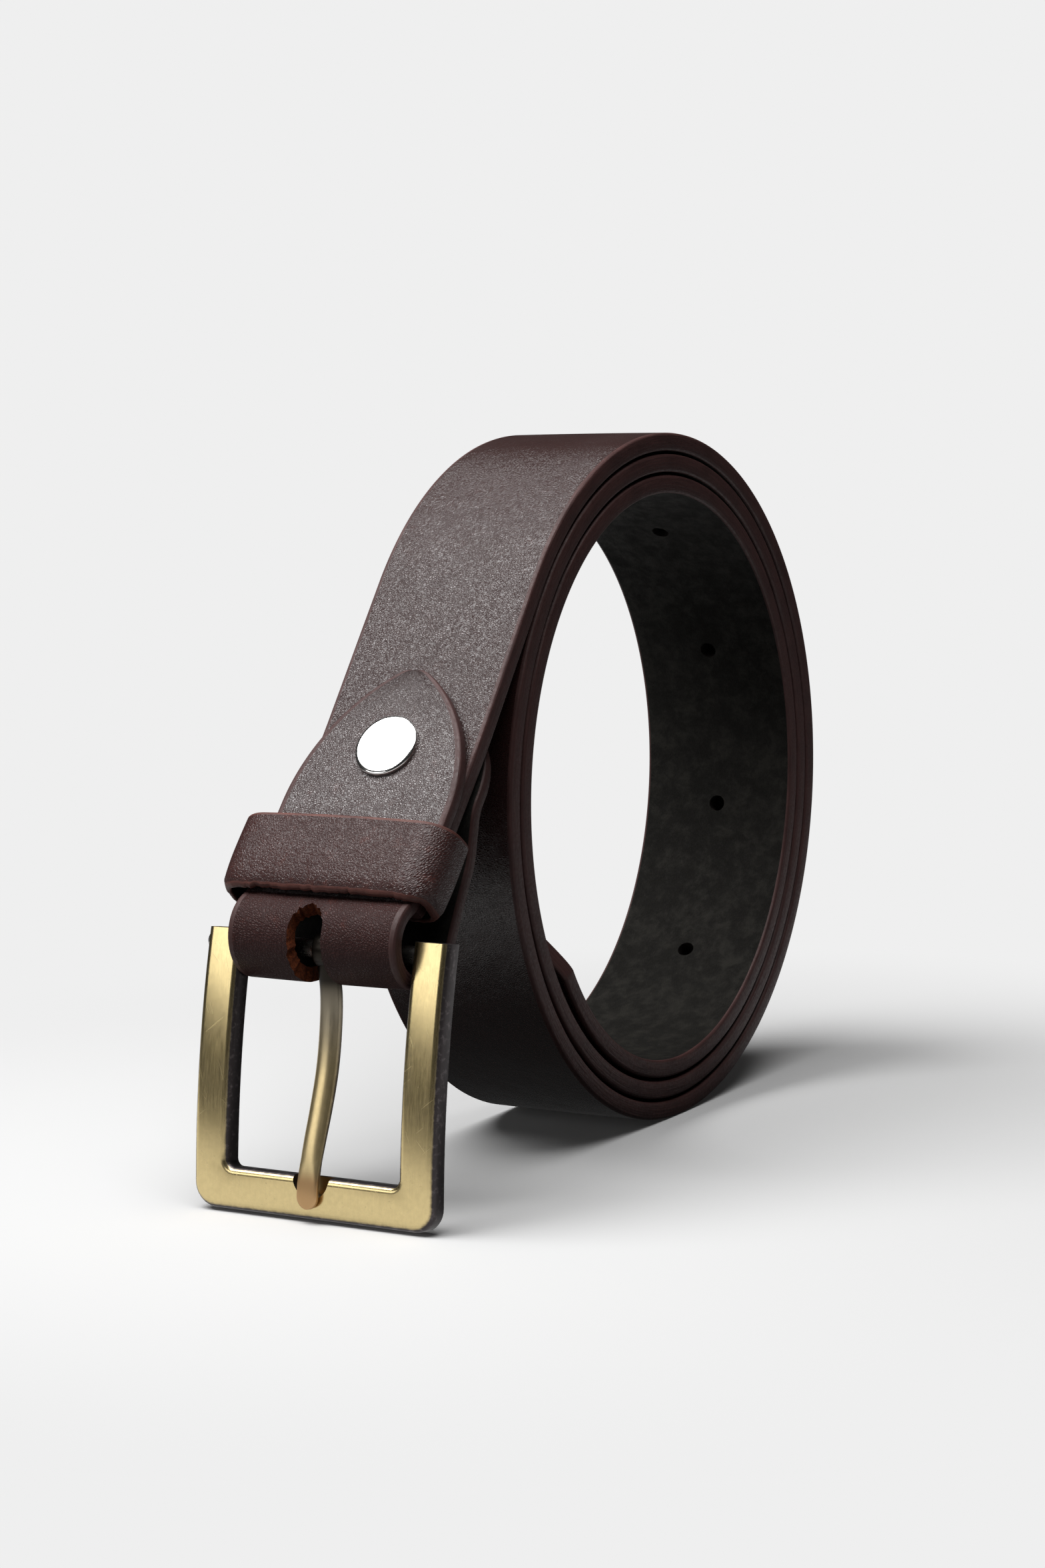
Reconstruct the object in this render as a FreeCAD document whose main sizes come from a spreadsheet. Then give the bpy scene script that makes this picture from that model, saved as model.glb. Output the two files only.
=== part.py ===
"""A leather belt rolled up for display: a single-ply strap wound into an upright coil that stands
on its edges' lower curve, with the buckle end hanging down in front of the coil.

Axes: X runs across the belt's width, Y from the buckle to the far side of the coil, Z is up.
The origin is on the floor, under the middle of the belt's box. Lengths are in millimetres.
"""
import FreeCAD, Part

import math
import os

Vector = FreeCAD.Vector

DIMENSIONS = (
    ("belt_width", 35.0, "width of the strap"),
    ("strap_thickness", 3.6, "single ply of strap leather"),
    ("coil_radius", 69.03, "distance from the coil's middle to the grain side, at the top of turn one"),
    ("layer_pitch", 4.23, "how much each turn lies inside the one before"),
    ("coil_oval", 1.78, "how much the coil is taller than it is round"),
    ("coil_ahead", 20.94, "from the origin to the coil's middle, along Y"),
    ("leaving_angle", 53.0, "before the top of the coil, where the strap leaves it for the buckle"),
    ("coil_angle", 957.0, "after the top of turn one, where the pointed tip begins"),
    ("arc_step", 30.0, "turn of each arc of the coil"),
    ("tip_length", 22.0, "pointed end of the strap"),
    ("free_run", 70.0, "straight strap between the coil and its buckle end"),
    ("hole_count", 5, "punched holes"),
    ("hole_radius", 1.8, "punched holes"),
    ("hole_pitch", 36.6, "between punched holes"),
    ("tip_to_hole", 120.7, "from the point of the strap to its last hole"),
    ("chape_width", 36.4, "width of the folded buckle tab"),
    ("chape_thickness", 2.7, "leather of the folded buckle tab"),
    ("chape_point_run", 20.8, "down the free run, where the tab's point starts"),
    ("chape_point_length", 30.0, "pointed front end of the tab"),
    ("fold_run", 74.2, "down the free run, the middle of the tab's fold"),
    ("fold_depth", 3.4, "behind the strap's grain side, the middle of the tab's fold"),
    ("fold_radius", 5.0, "inside of the tab's fold"),
    ("fold_floor", 4.0, "flat bottom of the tab's fold"),
    ("fold_back_radius", 5.6, "inside of the fold's second bend, up to the back leg"),
    ("back_leg_angle", 64.0, "rise of the tab's back leg above the floor"),
    ("back_leg_close", 80.0, "steeper rise of the back leg just before it meets the strap"),
    ("back_leg_close_run", 6.5, "straight stretch of that steeper rise"),
    ("back_leg_bend", 9.0, "bend radius of the back leg where it closes on the strap"),
    ("chape_skive", 0.8, "thinned back end of the tab"),
    ("chape_back_flat", 9.0, "back end of the tab, the flat under the screw"),
    ("chape_back_taper", 10.5, "back end of the tab, thinned to its round end"),
    ("slot_width", 7.5, "prong slot through the tab's fold"),
    ("slot_offset", 1.25, "how far the prong slot sits to the left of the middle"),
    ("slot_run", 72.6, "down the free run, where the prong slot starts"),
    ("rivet_run", 38.0, "down the free run, where the screw post goes through"),
    ("post_head_radius", 6.4, "polished head of the screw post"),
    ("post_head_height", 1.1, "polished head of the screw post"),
    ("post_radius", 2.5, "barrel of the screw post"),
    ("screw_head_radius", 4.2, "slotted screw at the back"),
    ("screw_head_height", 1.2, "slotted screw at the back"),
    ("screw_radius", 1.8, "shank of the screw"),
    ("keeper_run", 54.7, "down the free run, where the keeper starts"),
    ("keeper_band", 15.0, "width of the keeper's band"),
    ("keeper_thickness", 2.1, "leather of the keeper"),
    ("keeper_inside", 42.0, "inside width of the keeper"),
    ("keeper_front_slack", 1.3, "between the keeper and the tab's grain side"),
    ("keeper_back_slack", 0.45, "between the keeper and the strap's flesh side"),
    ("keeper_gap", 0.4, "between the keeper's two ends"),
    ("keeper_aside", 1.5, "how far the loose keeper sits to the left"),
    ("staple_span", 9.0, "staple that joins the keeper's ends"),
    ("staple_wire", 0.6, "thickness of the staple"),
    ("staple_breadth", 1.4, "breadth of the staple"),
    ("frame_width", 52.4, "outside of the buckle frame"),
    ("window_width", 37.2, "between the legs of the buckle frame"),
    ("frame_thickness", 4.0, "buckle frame, front to back"),
    ("frame_bow", 1.6, "how far the middle of the buckle frame stands forward of its ends"),
    ("crossbar_height", 7.9, "lower crossbar of the buckle frame"),
    ("leg_above_bar", 2.6, "legs of the buckle frame, above the middle of the heel bar"),
    ("frame_lean", 8.7, "lean of the hanging buckle, lower end forward"),
    ("frame_corner", 4.5, "outer lower corners of the buckle frame"),
    ("window_corner", 1.4, "inner lower corners of the buckle frame"),
    ("notch_radius", 3.9, "prong notch in the crossbar"),
    ("notch_depth", 2.6, "prong notch in the crossbar"),
    ("bar_radius", 1.75, "steel heel bar"),
    ("bar_seat", 5.5, "how deep the heel bar goes into the right leg"),
    ("bar_forward", 1.5, "heel bar, forward of the middle of the tab's fold"),
    ("bar_drop", 2.45, "heel bar, below the middle of the tab's fold"),
    ("prong_width", 4.4, "prong"),
    ("prong_thickness", 3.0, "prong"),
    ("prong_tip_thickness", 0.9, "flattened end of the prong"),
    ("prong_eye_radius", 3.5, "outside of the prong's eye"),
    ("pin_clearance", 0.08, "between the heel bar and the prong's eye"),
)

doc = FreeCAD.newDocument("leather_belt")
sheet = doc.addObject("Spreadsheet::Sheet", "Dimensions")
for row, (alias, value, note) in enumerate(DIMENSIONS, 1):
    sheet.set(f"A{row}", note)
    sheet.set(f"B{row}", str(value))
    sheet.setAlias(f"B{row}", alias)
doc.recompute()

nodes = []


def size(alias):
    """One driving dimension, as a number."""
    return float(sheet.get(alias))


def bind(item, **expressions):
    """Bind properties of an object to cells of the sheet."""
    for prop, expression in expressions.items():
        item.setExpression(prop, expression)


def bound(expression):
    """Write cell aliases as FreeCAD expects them in an expression."""
    words = expression.split(" ")
    return " ".join(f"Dimensions.{word}" if word[0].isalpha() else word for word in words)


def finish(item, label):
    """Give a finished sub-part its node name."""
    item.Label = label
    nodes.append(item)
    return item


# ---- paths: a start, a heading in degrees and a list of (length, turn) moves ----

def walk(start, heading, moves):
    """Stations of a path of straight runs and tangent arcs; a left turn is positive."""
    x, y = start
    stations = [(x, y, heading, 0.0)]
    for length, turn in moves:
        facing = math.radians(heading)
        if turn:
            radius = length / math.radians(turn)
            middle_x = x - radius * math.sin(facing)
            middle_y = y + radius * math.cos(facing)
            heading += turn
            facing = math.radians(heading)
            x = middle_x + radius * math.sin(facing)
            y = middle_y - radius * math.cos(facing)
        else:
            radius = 0.0
            x += length * math.cos(facing)
            y += length * math.sin(facing)
        stations.append((x, y, heading, radius))
    return stations


def beside(station, offset, back=0.0):
    """The point to the right of a station, back along the path by some turn in degrees."""
    x, y, heading, radius = station
    facing = math.radians(heading)
    if radius and back:
        middle_x = x - radius * math.sin(facing)
        middle_y = y + radius * math.cos(facing)
        facing = math.radians(heading - back)
        x = middle_x + radius * math.sin(facing)
        y = middle_y - radius * math.cos(facing)
    return Vector(x + offset * math.sin(facing), y - offset * math.cos(facing), 0)


def side_edges(stations, offset, last_offset=None):
    """Lines and arcs beside a path, at a constant distance to its right."""
    edges = []
    for before, after in zip(stations, stations[1:]):
        first = beside(before, offset)
        final = beside(after, offset)
        if last_offset is not None and after is stations[-1]:
            final = beside(after, last_offset)
        if after[3]:
            half_turn = (after[2] - before[2]) / 2
            edges.append(Part.Arc(first, beside(after, offset, half_turn), final))
        else:
            edges.append(Part.LineSegment(first, final))
    return edges


def band_outline(stations, thickness, end_thickness=None):
    """Closed outline of a band of leather whose left face follows the path."""
    last = thickness if end_thickness is None else end_thickness
    left = side_edges(stations, 0.0)
    right = side_edges(stations, thickness, last)
    start_cap = Part.LineSegment(beside(stations[0], 0.0), beside(stations[0], thickness))
    end_cap = Part.LineSegment(beside(stations[-1], 0.0), beside(stations[-1], last))
    return left + right + [start_cap, end_cap]


def closed_lines(points):
    """Straight edges round a list of corners."""
    corners = [Vector(x, y, 0) for x, y in points]
    return [Part.LineSegment(a, b) for a, b in zip(corners, corners[1:] + corners[:1])]


def rounded_rectangle(left, bottom, right, top, corner):
    """Lines and quarter arcs of a rectangle with four equal round corners."""
    edges = []
    middles = ((right - corner, top - corner), (left + corner, top - corner),
               (left + corner, bottom + corner), (right - corner, bottom + corner))
    spots = []
    for quarter, (x, y) in enumerate(middles):
        angles = [math.radians(90 * quarter + turn) for turn in (0, 45, 90)]
        spots.append([Vector(x + corner * math.cos(a), y + corner * math.sin(a), 0) for a in angles])
    for arc, following in zip(spots, spots[1:] + spots[:1]):
        edges.append(Part.Arc(*arc))
        edges.append(Part.LineSegment(arc[2], following[0]))
    return edges


# ---- building blocks ----

def origin_plane(body, role):
    return next(item for item in body.Origin.OriginFeatures if item.Role == role)


def new_sketch(body, name, role, geometry):
    """A sketch on one of the body's own origin planes."""
    sketch = body.newObject("Sketcher::SketchObject", name)
    sketch.AttachmentSupport = [(origin_plane(body, role), "")]
    sketch.MapMode = "FlatFace"
    sketch.addGeometry(geometry, False)
    return sketch


def padded(name, role, geometry, length, symmetric=True):
    """A body whose one sketch is padded by a length bound to the sheet."""
    body = doc.addObject("PartDesign::Body", name)
    sketch = new_sketch(body, f"{name}_outline", role, geometry)
    pad = body.newObject("PartDesign::Pad", f"{name}_pad")
    pad.Profile = sketch
    pad.SideType = "Symmetric" if symmetric else "One side"
    bind(pad, Length=bound(length))
    body.Tip = pad
    return body


def revolved(name, points):
    """A body turned about its own Z axis from a half outline of (radius, height) corners."""
    body = doc.addObject("PartDesign::Body", name)
    sketch = new_sketch(body, f"{name}_half", "XZ_Plane", closed_lines(points))
    turned = body.newObject("PartDesign::Revolution", f"{name}_turned")
    turned.Profile = sketch
    turned.ReferenceAxis = (sketch, ["V_Axis"])
    turned.Angle = 360
    body.Tip = turned
    return body


def cylinder(name, radius, height, placement):
    """A Part cylinder along its local Z axis, from one end."""
    item = doc.addObject("Part::Cylinder", name)
    bind(item, Radius=bound(radius), Height=bound(height))
    item.Placement = placement
    return item


def fused(name, pieces):
    item = doc.addObject("Part::MultiFuse", name)
    item.Shapes = pieces
    return item


def cut(name, base, tool):
    item = doc.addObject("Part::Cut", name)
    item.Base = base
    item.Tool = tool
    return item


def common(name, base, tool):
    item = doc.addObject("Part::Common", name)
    item.Base = base
    item.Tool = tool
    return item


# ---- the strap's path in the YZ plane ----

def coil_arc_radius(angle):
    """Bend radius of the coil's grain side, at an angle after the top of turn one."""
    return (size("coil_radius") - size("layer_pitch") * angle / 360
            - 3 * size("coil_oval") * math.cos(math.radians(2 * angle)))


def coil_point(angle):
    """Grain side of the coil about its own middle, at an angle after the top of turn one."""
    turn = math.radians(angle)
    reach = (size("coil_radius") - size("layer_pitch") * angle / 360
             + size("coil_oval") * math.cos(2 * turn))
    slip = -size("layer_pitch") / (2 * math.pi) - 2 * size("coil_oval") * math.sin(2 * turn)
    across = reach * math.sin(turn) + slip * math.cos(turn)
    up = reach * math.cos(turn) - slip * math.sin(turn)
    return across, up


def coil_moves(last_angle):
    """Arcs of the coil, from where the strap joins it to the last angle."""
    step = size("arc_step")
    angle = -size("leaving_angle")
    moves = []
    while angle < last_angle:
        following = min(step * (math.floor(angle / step + 1e-9) + 1), last_angle)
        turn = following - angle
        radius = coil_arc_radius((angle + following) / 2)
        moves.append((radius * math.radians(turn), -turn))
        angle = following
    return moves


TIP_TURN = math.degrees(size("tip_length") / coil_arc_radius(size("coil_angle")))
END_ANGLE = size("coil_angle") + TIP_TURN
HEADING = size("leaving_angle")
DOWN = Vector(0, -math.cos(math.radians(HEADING)), -math.sin(math.radians(HEADING)))
OUT = Vector(0, -math.sin(math.radians(HEADING)), math.cos(math.radians(HEADING)))

join_y, join_up = coil_point(-size("leaving_angle"))
first_turn = walk((join_y, join_up), HEADING, coil_moves(180))
LIFT = -first_turn[-1][1]
JOIN = Vector(0, size("coil_ahead") + join_y, LIFT + join_up)


def on_run(down, out=0.0, across=0.0):
    """A point beside the free run: down it from the coil, out from its grain side."""
    return JOIN + DOWN * down + OUT * out + Vector(across, 0, 0)


def facing_out(origin):
    """A placement at a point whose Z axis points out of the strap's grain side."""
    return FreeCAD.Placement(origin, FreeCAD.Rotation(Vector(1, 0, 0), DOWN * -1, OUT, "ZXY"))


def along_x(origin):
    """A placement at a point whose Z axis points along X."""
    return FreeCAD.Placement(origin, FreeCAD.Rotation(Vector(0, 1, 0), 90))


def arched_point(name, half, length, depth):
    """A solid with an arched point along Y, as wide as the leather, that starts at its origin."""
    radius = (half ** 2 + length ** 2) / (2 * half)
    swing = math.asin(min(1.0, length / radius)) / 2
    bulge_x = half - radius + radius * math.cos(swing)
    bulge_y = radius * math.sin(swing)
    root = -length / 4
    edges = [Part.LineSegment(Vector(-half, root, 0), Vector(half, root, 0)),
             Part.LineSegment(Vector(half, root, 0), Vector(half, 0, 0)),
             Part.Arc(Vector(half, 0, 0), Vector(bulge_x, bulge_y, 0), Vector(0, length, 0)),
             Part.Arc(Vector(0, length, 0), Vector(-bulge_x, bulge_y, 0), Vector(-half, 0, 0)),
             Part.LineSegment(Vector(-half, 0, 0), Vector(-half, root, 0))]
    return padded(name, "XY_Plane", edges, depth)


def build_strap():
    """The main strap: a straight run from the buckle, then almost three turns, ending in a point."""
    start = on_run(size("free_run"))
    thickness = size("strap_thickness")
    turns = coil_moves(size("coil_angle"))
    stations = walk((start.y, start.z), HEADING, [(size("free_run"), 0.0)] + turns)
    band = padded("strap_band", "YZ_Plane", band_outline(stations, thickness), "belt_width")

    # The last stretch of leather, trimmed to a point.
    last_y, last_z, heading, _ = stations[-1]
    tip_bend = coil_arc_radius(size("coil_angle"))
    tip_path = walk((last_y, last_z), heading, [(size("tip_length"), -TIP_TURN)])
    tip_band = padded("tip_band", "YZ_Plane", band_outline(tip_path, thickness), "belt_width")
    first = Vector(0, last_y, last_z)
    across = Vector(0, tip_path[-1][0], tip_path[-1][1]) - first
    length = across.Length
    across.normalize()
    outward = Vector(0, -across.z, across.y)
    point = arched_point("tip_point", size("belt_width") / 2, length, "4 * strap_thickness")
    point.Placement = FreeCAD.Placement(first, FreeCAD.Rotation(Vector(1, 0, 0), across,
                                                                outward, "ZXY"))
    tip = common("strap_tip", tip_band, point)
    blank = fused("strap_blank", [band, tip])

    # Punched holes, found by walking back from the tip along the grain side.
    tools = []
    for index in range(int(size("hole_count"))):
        distance = size("tip_to_hole") + index * size("hole_pitch")
        angle = END_ANGLE
        while distance > 0:
            angle -= 0.1
            distance -= coil_arc_radius(angle) * math.radians(0.1)
        spot_y, spot_up = coil_point(angle)
        turn = math.radians(angle)
        normal = Vector(0, math.sin(turn), math.cos(turn))
        middle = Vector(0, size("coil_ahead") + spot_y, LIFT + spot_up)
        place = FreeCAD.Placement(middle - normal * (1.1 * thickness),
                                  FreeCAD.Rotation(Vector(0, 0, 1), normal))
        tools.append(cylinder(f"punch_{index + 1}", "hole_radius", "1.2 * strap_thickness", place))

    # The hole for the screw post.
    tools.append(cylinder("strap_post_hole", "post_radius", "2 * strap_thickness",
                          facing_out(on_run(size("rivet_run"), -1.5 * thickness))))
    finish(cut("strap_cut", blank, fused("strap_tools", tools)), "strap")


def fold_middle():
    """Middle of the bend that the tab makes round the heel bar."""
    return on_run(size("fold_run"), -size("fold_depth"))


def chape_stations():
    """The folded tab's flesh side: down the strap's front, round the bar and up its back."""
    fold = size("fold_radius")
    down_heading = HEADING - 180

    # Before the fold the leather swings out from the strap and back again, in two equal turns.
    rise = fold - size("fold_depth")
    swing = math.acos(1 - rise / (2 * fold))
    swing_degrees = math.degrees(swing)
    swing_run = 2 * fold * math.sin(swing)
    straight = size("fold_run") - size("chape_point_run") - swing_run
    steep = size("back_leg_angle")
    round_turn = swing_degrees - down_heading
    moves = [(straight, 0.0),
             (fold * swing, -swing_degrees),
             (fold * math.radians(round_turn), round_turn),
             (size("fold_floor"), 0.0),
             (size("fold_back_radius") * math.radians(steep), steep)]
    start = on_run(size("chape_point_run"))
    folded = walk((start.y, start.z), down_heading, moves)
    here = Vector(0, folded[-1][0], folded[-1][1])
    depth = -(here - JOIN).dot(OUT) - size("strap_thickness")

    # The back leg closes the wedge between itself and the strap, then lies flat on the strap.
    steeper = size("back_leg_close")
    bend = size("back_leg_bend")
    lean_first = math.radians(steep - HEADING)
    lean_second = math.radians(steeper - HEADING)
    close_run = size("back_leg_close_run")
    closed = bend * (1 + math.cos(lean_first) - 2 * math.cos(lean_second))
    closed += close_run * math.sin(lean_second)
    leg_run = (depth - closed) / math.sin(lean_first)
    moves += [(leg_run, 0.0),
              (bend * (lean_second - lean_first), steeper - steep),
              (close_run, 0.0),
              (bend * lean_second, HEADING - steeper),
              (size("chape_back_flat"), 0.0),
              (size("chape_back_taper"), 0.0)]
    return walk((start.y, start.z), down_heading, moves)


def trimmers(name, half, length, point_run, low, high):
    """Two solids that trim one end of the tab to an arched point, up the free run."""
    radius = (half ** 2 + length ** 2) / (2 * half)
    swing = math.asin(min(1.0, length / radius)) / 2
    bulge_x = half - radius + radius * math.cos(swing)
    bulge_y = radius * math.sin(swing) - length
    far = length / 2
    pair = []
    for side, word in ((-1, "left"), (1, "right")):
        corners = [Vector(side * half, -length, 0), Vector(side * 2 * half, -length, 0),
                   Vector(side * 2 * half, far, 0), Vector(0, far, 0), Vector(0, 0, 0)]
        edges = [Part.LineSegment(a, b) for a, b in zip(corners, corners[1:])]
        edges.append(Part.Arc(corners[0], Vector(side * bulge_x, bulge_y, 0), corners[-1]))
        trimmer = doc.addObject("Part::Feature", f"{name}_{word}")
        outline = Part.Wire([edge.toShape() for edge in edges])
        trimmer.Shape = Part.Face(outline).extrude(Vector(0, 0, high))
        trimmer.Placement = facing_out(on_run(point_run, low))
        pair.append(trimmer)
    return pair


def build_chape():
    """The buckle tab, folded round the heel bar, with a pointed front and a thinned back end."""
    stations = chape_stations()
    outline = band_outline(stations, size("chape_thickness"), size("chape_skive"))
    blank = padded("chape_blank", "YZ_Plane", outline, "chape_width")
    half = size("chape_width") / 2
    tools = [cylinder("chape_post_hole", "post_radius", "6 * chape_thickness",
                      facing_out(on_run(size("rivet_run"), -4 * size("chape_thickness"))))]

    # The screw's head presses a flat seat into the back leg.
    seat_depth = size("strap_thickness") + size("chape_thickness") + 2 * size("screw_head_height")
    tools.append(cylinder("screw_seat", "screw_head_radius + pin_clearance",
                          "2 * screw_head_height",
                          facing_out(on_run(size("rivet_run"), -seat_depth))))

    # Both ends are trimmed to an arched point, each by a solid that stands on its own leg.
    behind = size("strap_thickness") / 2
    deep = 4 * size("fold_radius")
    last = Vector(0, stations[-1][0], stations[-1][1])
    back_run = (last - JOIN).dot(DOWN)
    tools += trimmers("chape_front", half, size("chape_point_length"), size("chape_point_run"),
                      -behind, deep)
    tools += trimmers("chape_back", half, half, back_run, -behind - deep, deep)

    # The prong slot: a round top end, then a wedge that opens the fold's front and bottom.
    fold = fold_middle()
    radius = size("fold_radius")
    round_run = size("slot_run") + size("slot_width") / 2
    below = -size("fold_depth") + radius - size("chape_thickness")
    round_end = on_run(round_run, below, -size("slot_offset"))
    tools.append(cylinder("slot_top", "slot_width / 2", "3 * chape_thickness",
                          facing_out(round_end)))
    outer = on_run(round_run, 3 * size("chape_thickness"))
    slot_back = fold.y + size("fold_floor") + size("bar_radius")
    corners = [(round_end.y, round_end.z), (outer.y, outer.z),
               (fold.y - 3 * radius, fold.z - 3 * radius),
               (slot_back, fold.z - 3 * radius),
               (slot_back, fold.z - radius / 2)]
    slot = padded("slot_wedge", "YZ_Plane", closed_lines(corners), "slot_width")
    slot.Placement.Base = Vector(-size("slot_offset"), 0, 0)
    tools.append(slot)
    finish(cut("chape_cut", blank, fused("chape_tools", tools)), "chape")


def keeper_levels():
    """The keeper's inner faces, out from the strap's grain side: back run, front run."""
    back = -size("strap_thickness") - size("keeper_back_slack")
    front = size("chape_thickness") + size("keeper_front_slack")
    return back, front


def across_run(down):
    """A placement on the free run with X across the belt, Y out of it and Z down it."""
    return FreeCAD.Placement(on_run(down), FreeCAD.Rotation(Vector(1, 0, 0), OUT, DOWN, "ZXY"))


def build_keeper():
    """The leather loop round the tab and the strap, its two ends stapled behind the strap."""
    back, front = keeper_levels()
    thick = size("keeper_thickness")
    half = size("keeper_inside") / 2
    corner = 2.4
    outline = rounded_rectangle(-half - thick, back - thick, half + thick, front + thick,
                                corner + thick)
    outline += rounded_rectangle(-half, back, half, front, corner)
    band = padded("keeper_blank", "XY_Plane", outline, "keeper_band", symmetric=False)
    band.Placement = across_run(size("keeper_run"))
    band.Placement.Base += Vector(-size("keeper_aside"), 0, 0)

    gap = doc.addObject("Part::Box", "keeper_end_gap")
    bind(gap, Length=bound("keeper_gap"), Width=bound("2 * keeper_thickness"),
         Height=bound("2 * keeper_band"))
    gap.Placement = across_run(size("keeper_run") - size("keeper_band") / 2)
    gap.Placement.Base += Vector(-size("keeper_gap") / 2, 0, 0) + OUT * (back - 1.5 * thick)

    # The staple: a crown outside, two legs through the leather and two clinched ends inside.
    span = size("staple_span") / 2
    wire = size("staple_wire")
    clinch = span * 0.45
    corners = [(-span, back - thick), (span, back - thick), (span, back), (span - clinch, back),
               (span - clinch, back - wire), (span - wire, back - wire),
               (span - wire, back - thick + wire), (wire - span, back - thick + wire),
               (wire - span, back - wire), (clinch - span, back - wire), (clinch - span, back),
               (-span, back)]
    staple = padded("keeper_staple_body", "XY_Plane", closed_lines(corners), "staple_breadth",
                    symmetric=False)
    staple.Placement = across_run(size("keeper_run") + (size("keeper_band")
                                                        - size("staple_breadth")) / 2)
    finish(staple, "keeper_staple")
    finish(cut("keeper_cut", band, fused("keeper_tools", [gap, staple])), "keeper_loop")


def build_screw_post():
    """The two-piece post that clamps the tab's two legs to the strap: barrel and slotted screw."""
    stack = size("strap_thickness") + 2 * size("chape_thickness")
    head = size("post_head_radius")
    high = size("post_head_height")
    edge = 0.3
    barrel = size("post_radius")
    bore = size("screw_radius")
    clear = 0.4
    roof = 2.2
    post = revolved("screw_post_body", [
        (0, high), (head - edge, high), (head, high - edge), (head, 0), (barrel, 0),
        (barrel, clear - stack), (bore, clear - stack), (bore, -roof), (0, -roof)])
    post.Placement = facing_out(on_run(size("rivet_run"), size("chape_thickness")))
    finish(post, "screw_post")

    screw_head = size("screw_head_radius")
    screw_high = size("screw_head_height")
    screw = revolved("screw_body", [
        (0, -stack - screw_high), (screw_head - edge, -stack - screw_high),
        (screw_head, -stack - screw_high + edge), (screw_head, -stack), (bore, -stack),
        (bore, -roof - clear), (0, -roof - clear)])
    slot_depth = screw_high / 2
    driver = doc.addObject("Part::Box", "driver_slot")
    bind(driver, Length=bound("4 * screw_head_radius"), Width=bound("screw_head_height"),
         Height=bound("screw_head_height"))
    driver.Placement.Base = Vector(-2 * screw_head, -screw_high / 2,
                                   slot_depth - stack - 2 * screw_high)
    slotted = cut("screw_cut", screw, driver)
    slotted.Placement = facing_out(on_run(size("rivet_run"), size("chape_thickness")))
    finish(slotted, "screw")


def bar_middle():
    """Middle of the heel bar, low and forward inside the tab's fold."""
    return fold_middle() + Vector(0, -size("bar_forward"), -size("bar_drop"))


def frame_drop():
    """Length of the buckle frame below the heel bar, so that it just reaches the floor."""
    lean = math.radians(size("frame_lean"))
    foot = size("frame_thickness") / 2 * math.sin(lean)
    float_above_floor = 0.05
    return (bar_middle().z - foot - float_above_floor) / math.cos(lean)


def hung(item):
    """Hang a piece that is modelled about the heel bar in its leaning place."""
    item.Placement = FreeCAD.Placement(bar_middle(),
                                       FreeCAD.Rotation(Vector(1, 0, 0), -size("frame_lean")))
    return item


def bow_arc(top, bottom, front):
    """Arc of the bowed frame, seen from the side, through a level of its unbowed face."""
    middle = (top + bottom) / 2
    bow = size("frame_bow")
    return Part.Arc(Vector(front, top, 0), Vector(front - bow, middle, 0), Vector(front, bottom, 0))


def build_frame():
    """The bowed, open-topped buckle frame with bar holes and a notch for the prong."""
    top = size("leg_above_bar")
    bottom = -frame_drop()
    half = size("frame_width") / 2
    window = size("window_width") / 2
    sill = bottom + size("crossbar_height")
    outer = size("frame_corner")
    inner = size("window_corner")

    def corner_arc(x, z, radius, first):
        angles = [math.radians(first + turn) for turn in (0, 45, 90)]
        return [Vector(x + radius * math.cos(a), z + radius * math.sin(a), 0) for a in angles]

    runs = [[Vector(-half, top, 0)],
            corner_arc(outer - half, bottom + outer, outer, 180),
            corner_arc(half - outer, bottom + outer, outer, 270),
            [Vector(half, top, 0)],
            [Vector(window, top, 0)],
            corner_arc(window - inner, sill + inner, inner, -90)[::-1],
            corner_arc(inner - window, sill + inner, inner, 180)[::-1],
            [Vector(-window, top, 0)]]
    plan = []
    for run, following in zip(runs, runs[1:] + runs[:1]):
        if len(run) == 3:
            plan.append(Part.Arc(*run))
        plan.append(Part.LineSegment(run[-1], following[0]))
    front_view = padded("frame_plan", "XZ_Plane", plan, "6 * frame_thickness")

    thick = size("frame_thickness")
    margin = 1.0
    front_arc = bow_arc(top + margin, bottom - margin, -thick / 2)
    back_arc = bow_arc(top + margin, bottom - margin, thick / 2)
    caps = [Part.LineSegment(Vector(-thick / 2, z, 0), Vector(thick / 2, z, 0))
            for z in (top + margin, bottom - margin)]
    side_view = padded("frame_side", "YZ_Plane", [front_arc, back_arc] + caps, "2 * frame_width")
    blank = common("frame_blank", front_view, side_view)

    into_y = FreeCAD.Rotation(Vector(1, 0, 0), 90)
    notch = cylinder("prong_notch", "notch_radius", "notch_depth + frame_thickness",
                     FreeCAD.Placement(Vector(0, size("notch_depth") - thick / 2 - size("frame_bow") / 2,
                                              sill), into_y))
    through = cylinder("bar_hole", "bar_radius", "frame_width / 2 + window_width / 2 + bar_seat",
                       along_x(Vector(-half, 0, 0)))
    bored = cut("frame_bored", blank, fused("frame_tools", [notch, through]))
    finish(hung(bored), "buckle_frame")

    bar = cylinder("heel_bar", "bar_radius", "frame_width / 2 + window_width / 2 + bar_seat",
                   FreeCAD.Placement())
    leaned = FreeCAD.Placement(bar_middle(), FreeCAD.Rotation(Vector(1, 0, 0), -size("frame_lean")))
    bar.Placement = leaned.multiply(along_x(Vector(-half, 0, 0)))
    finish(bar, "bar_pin")


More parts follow.
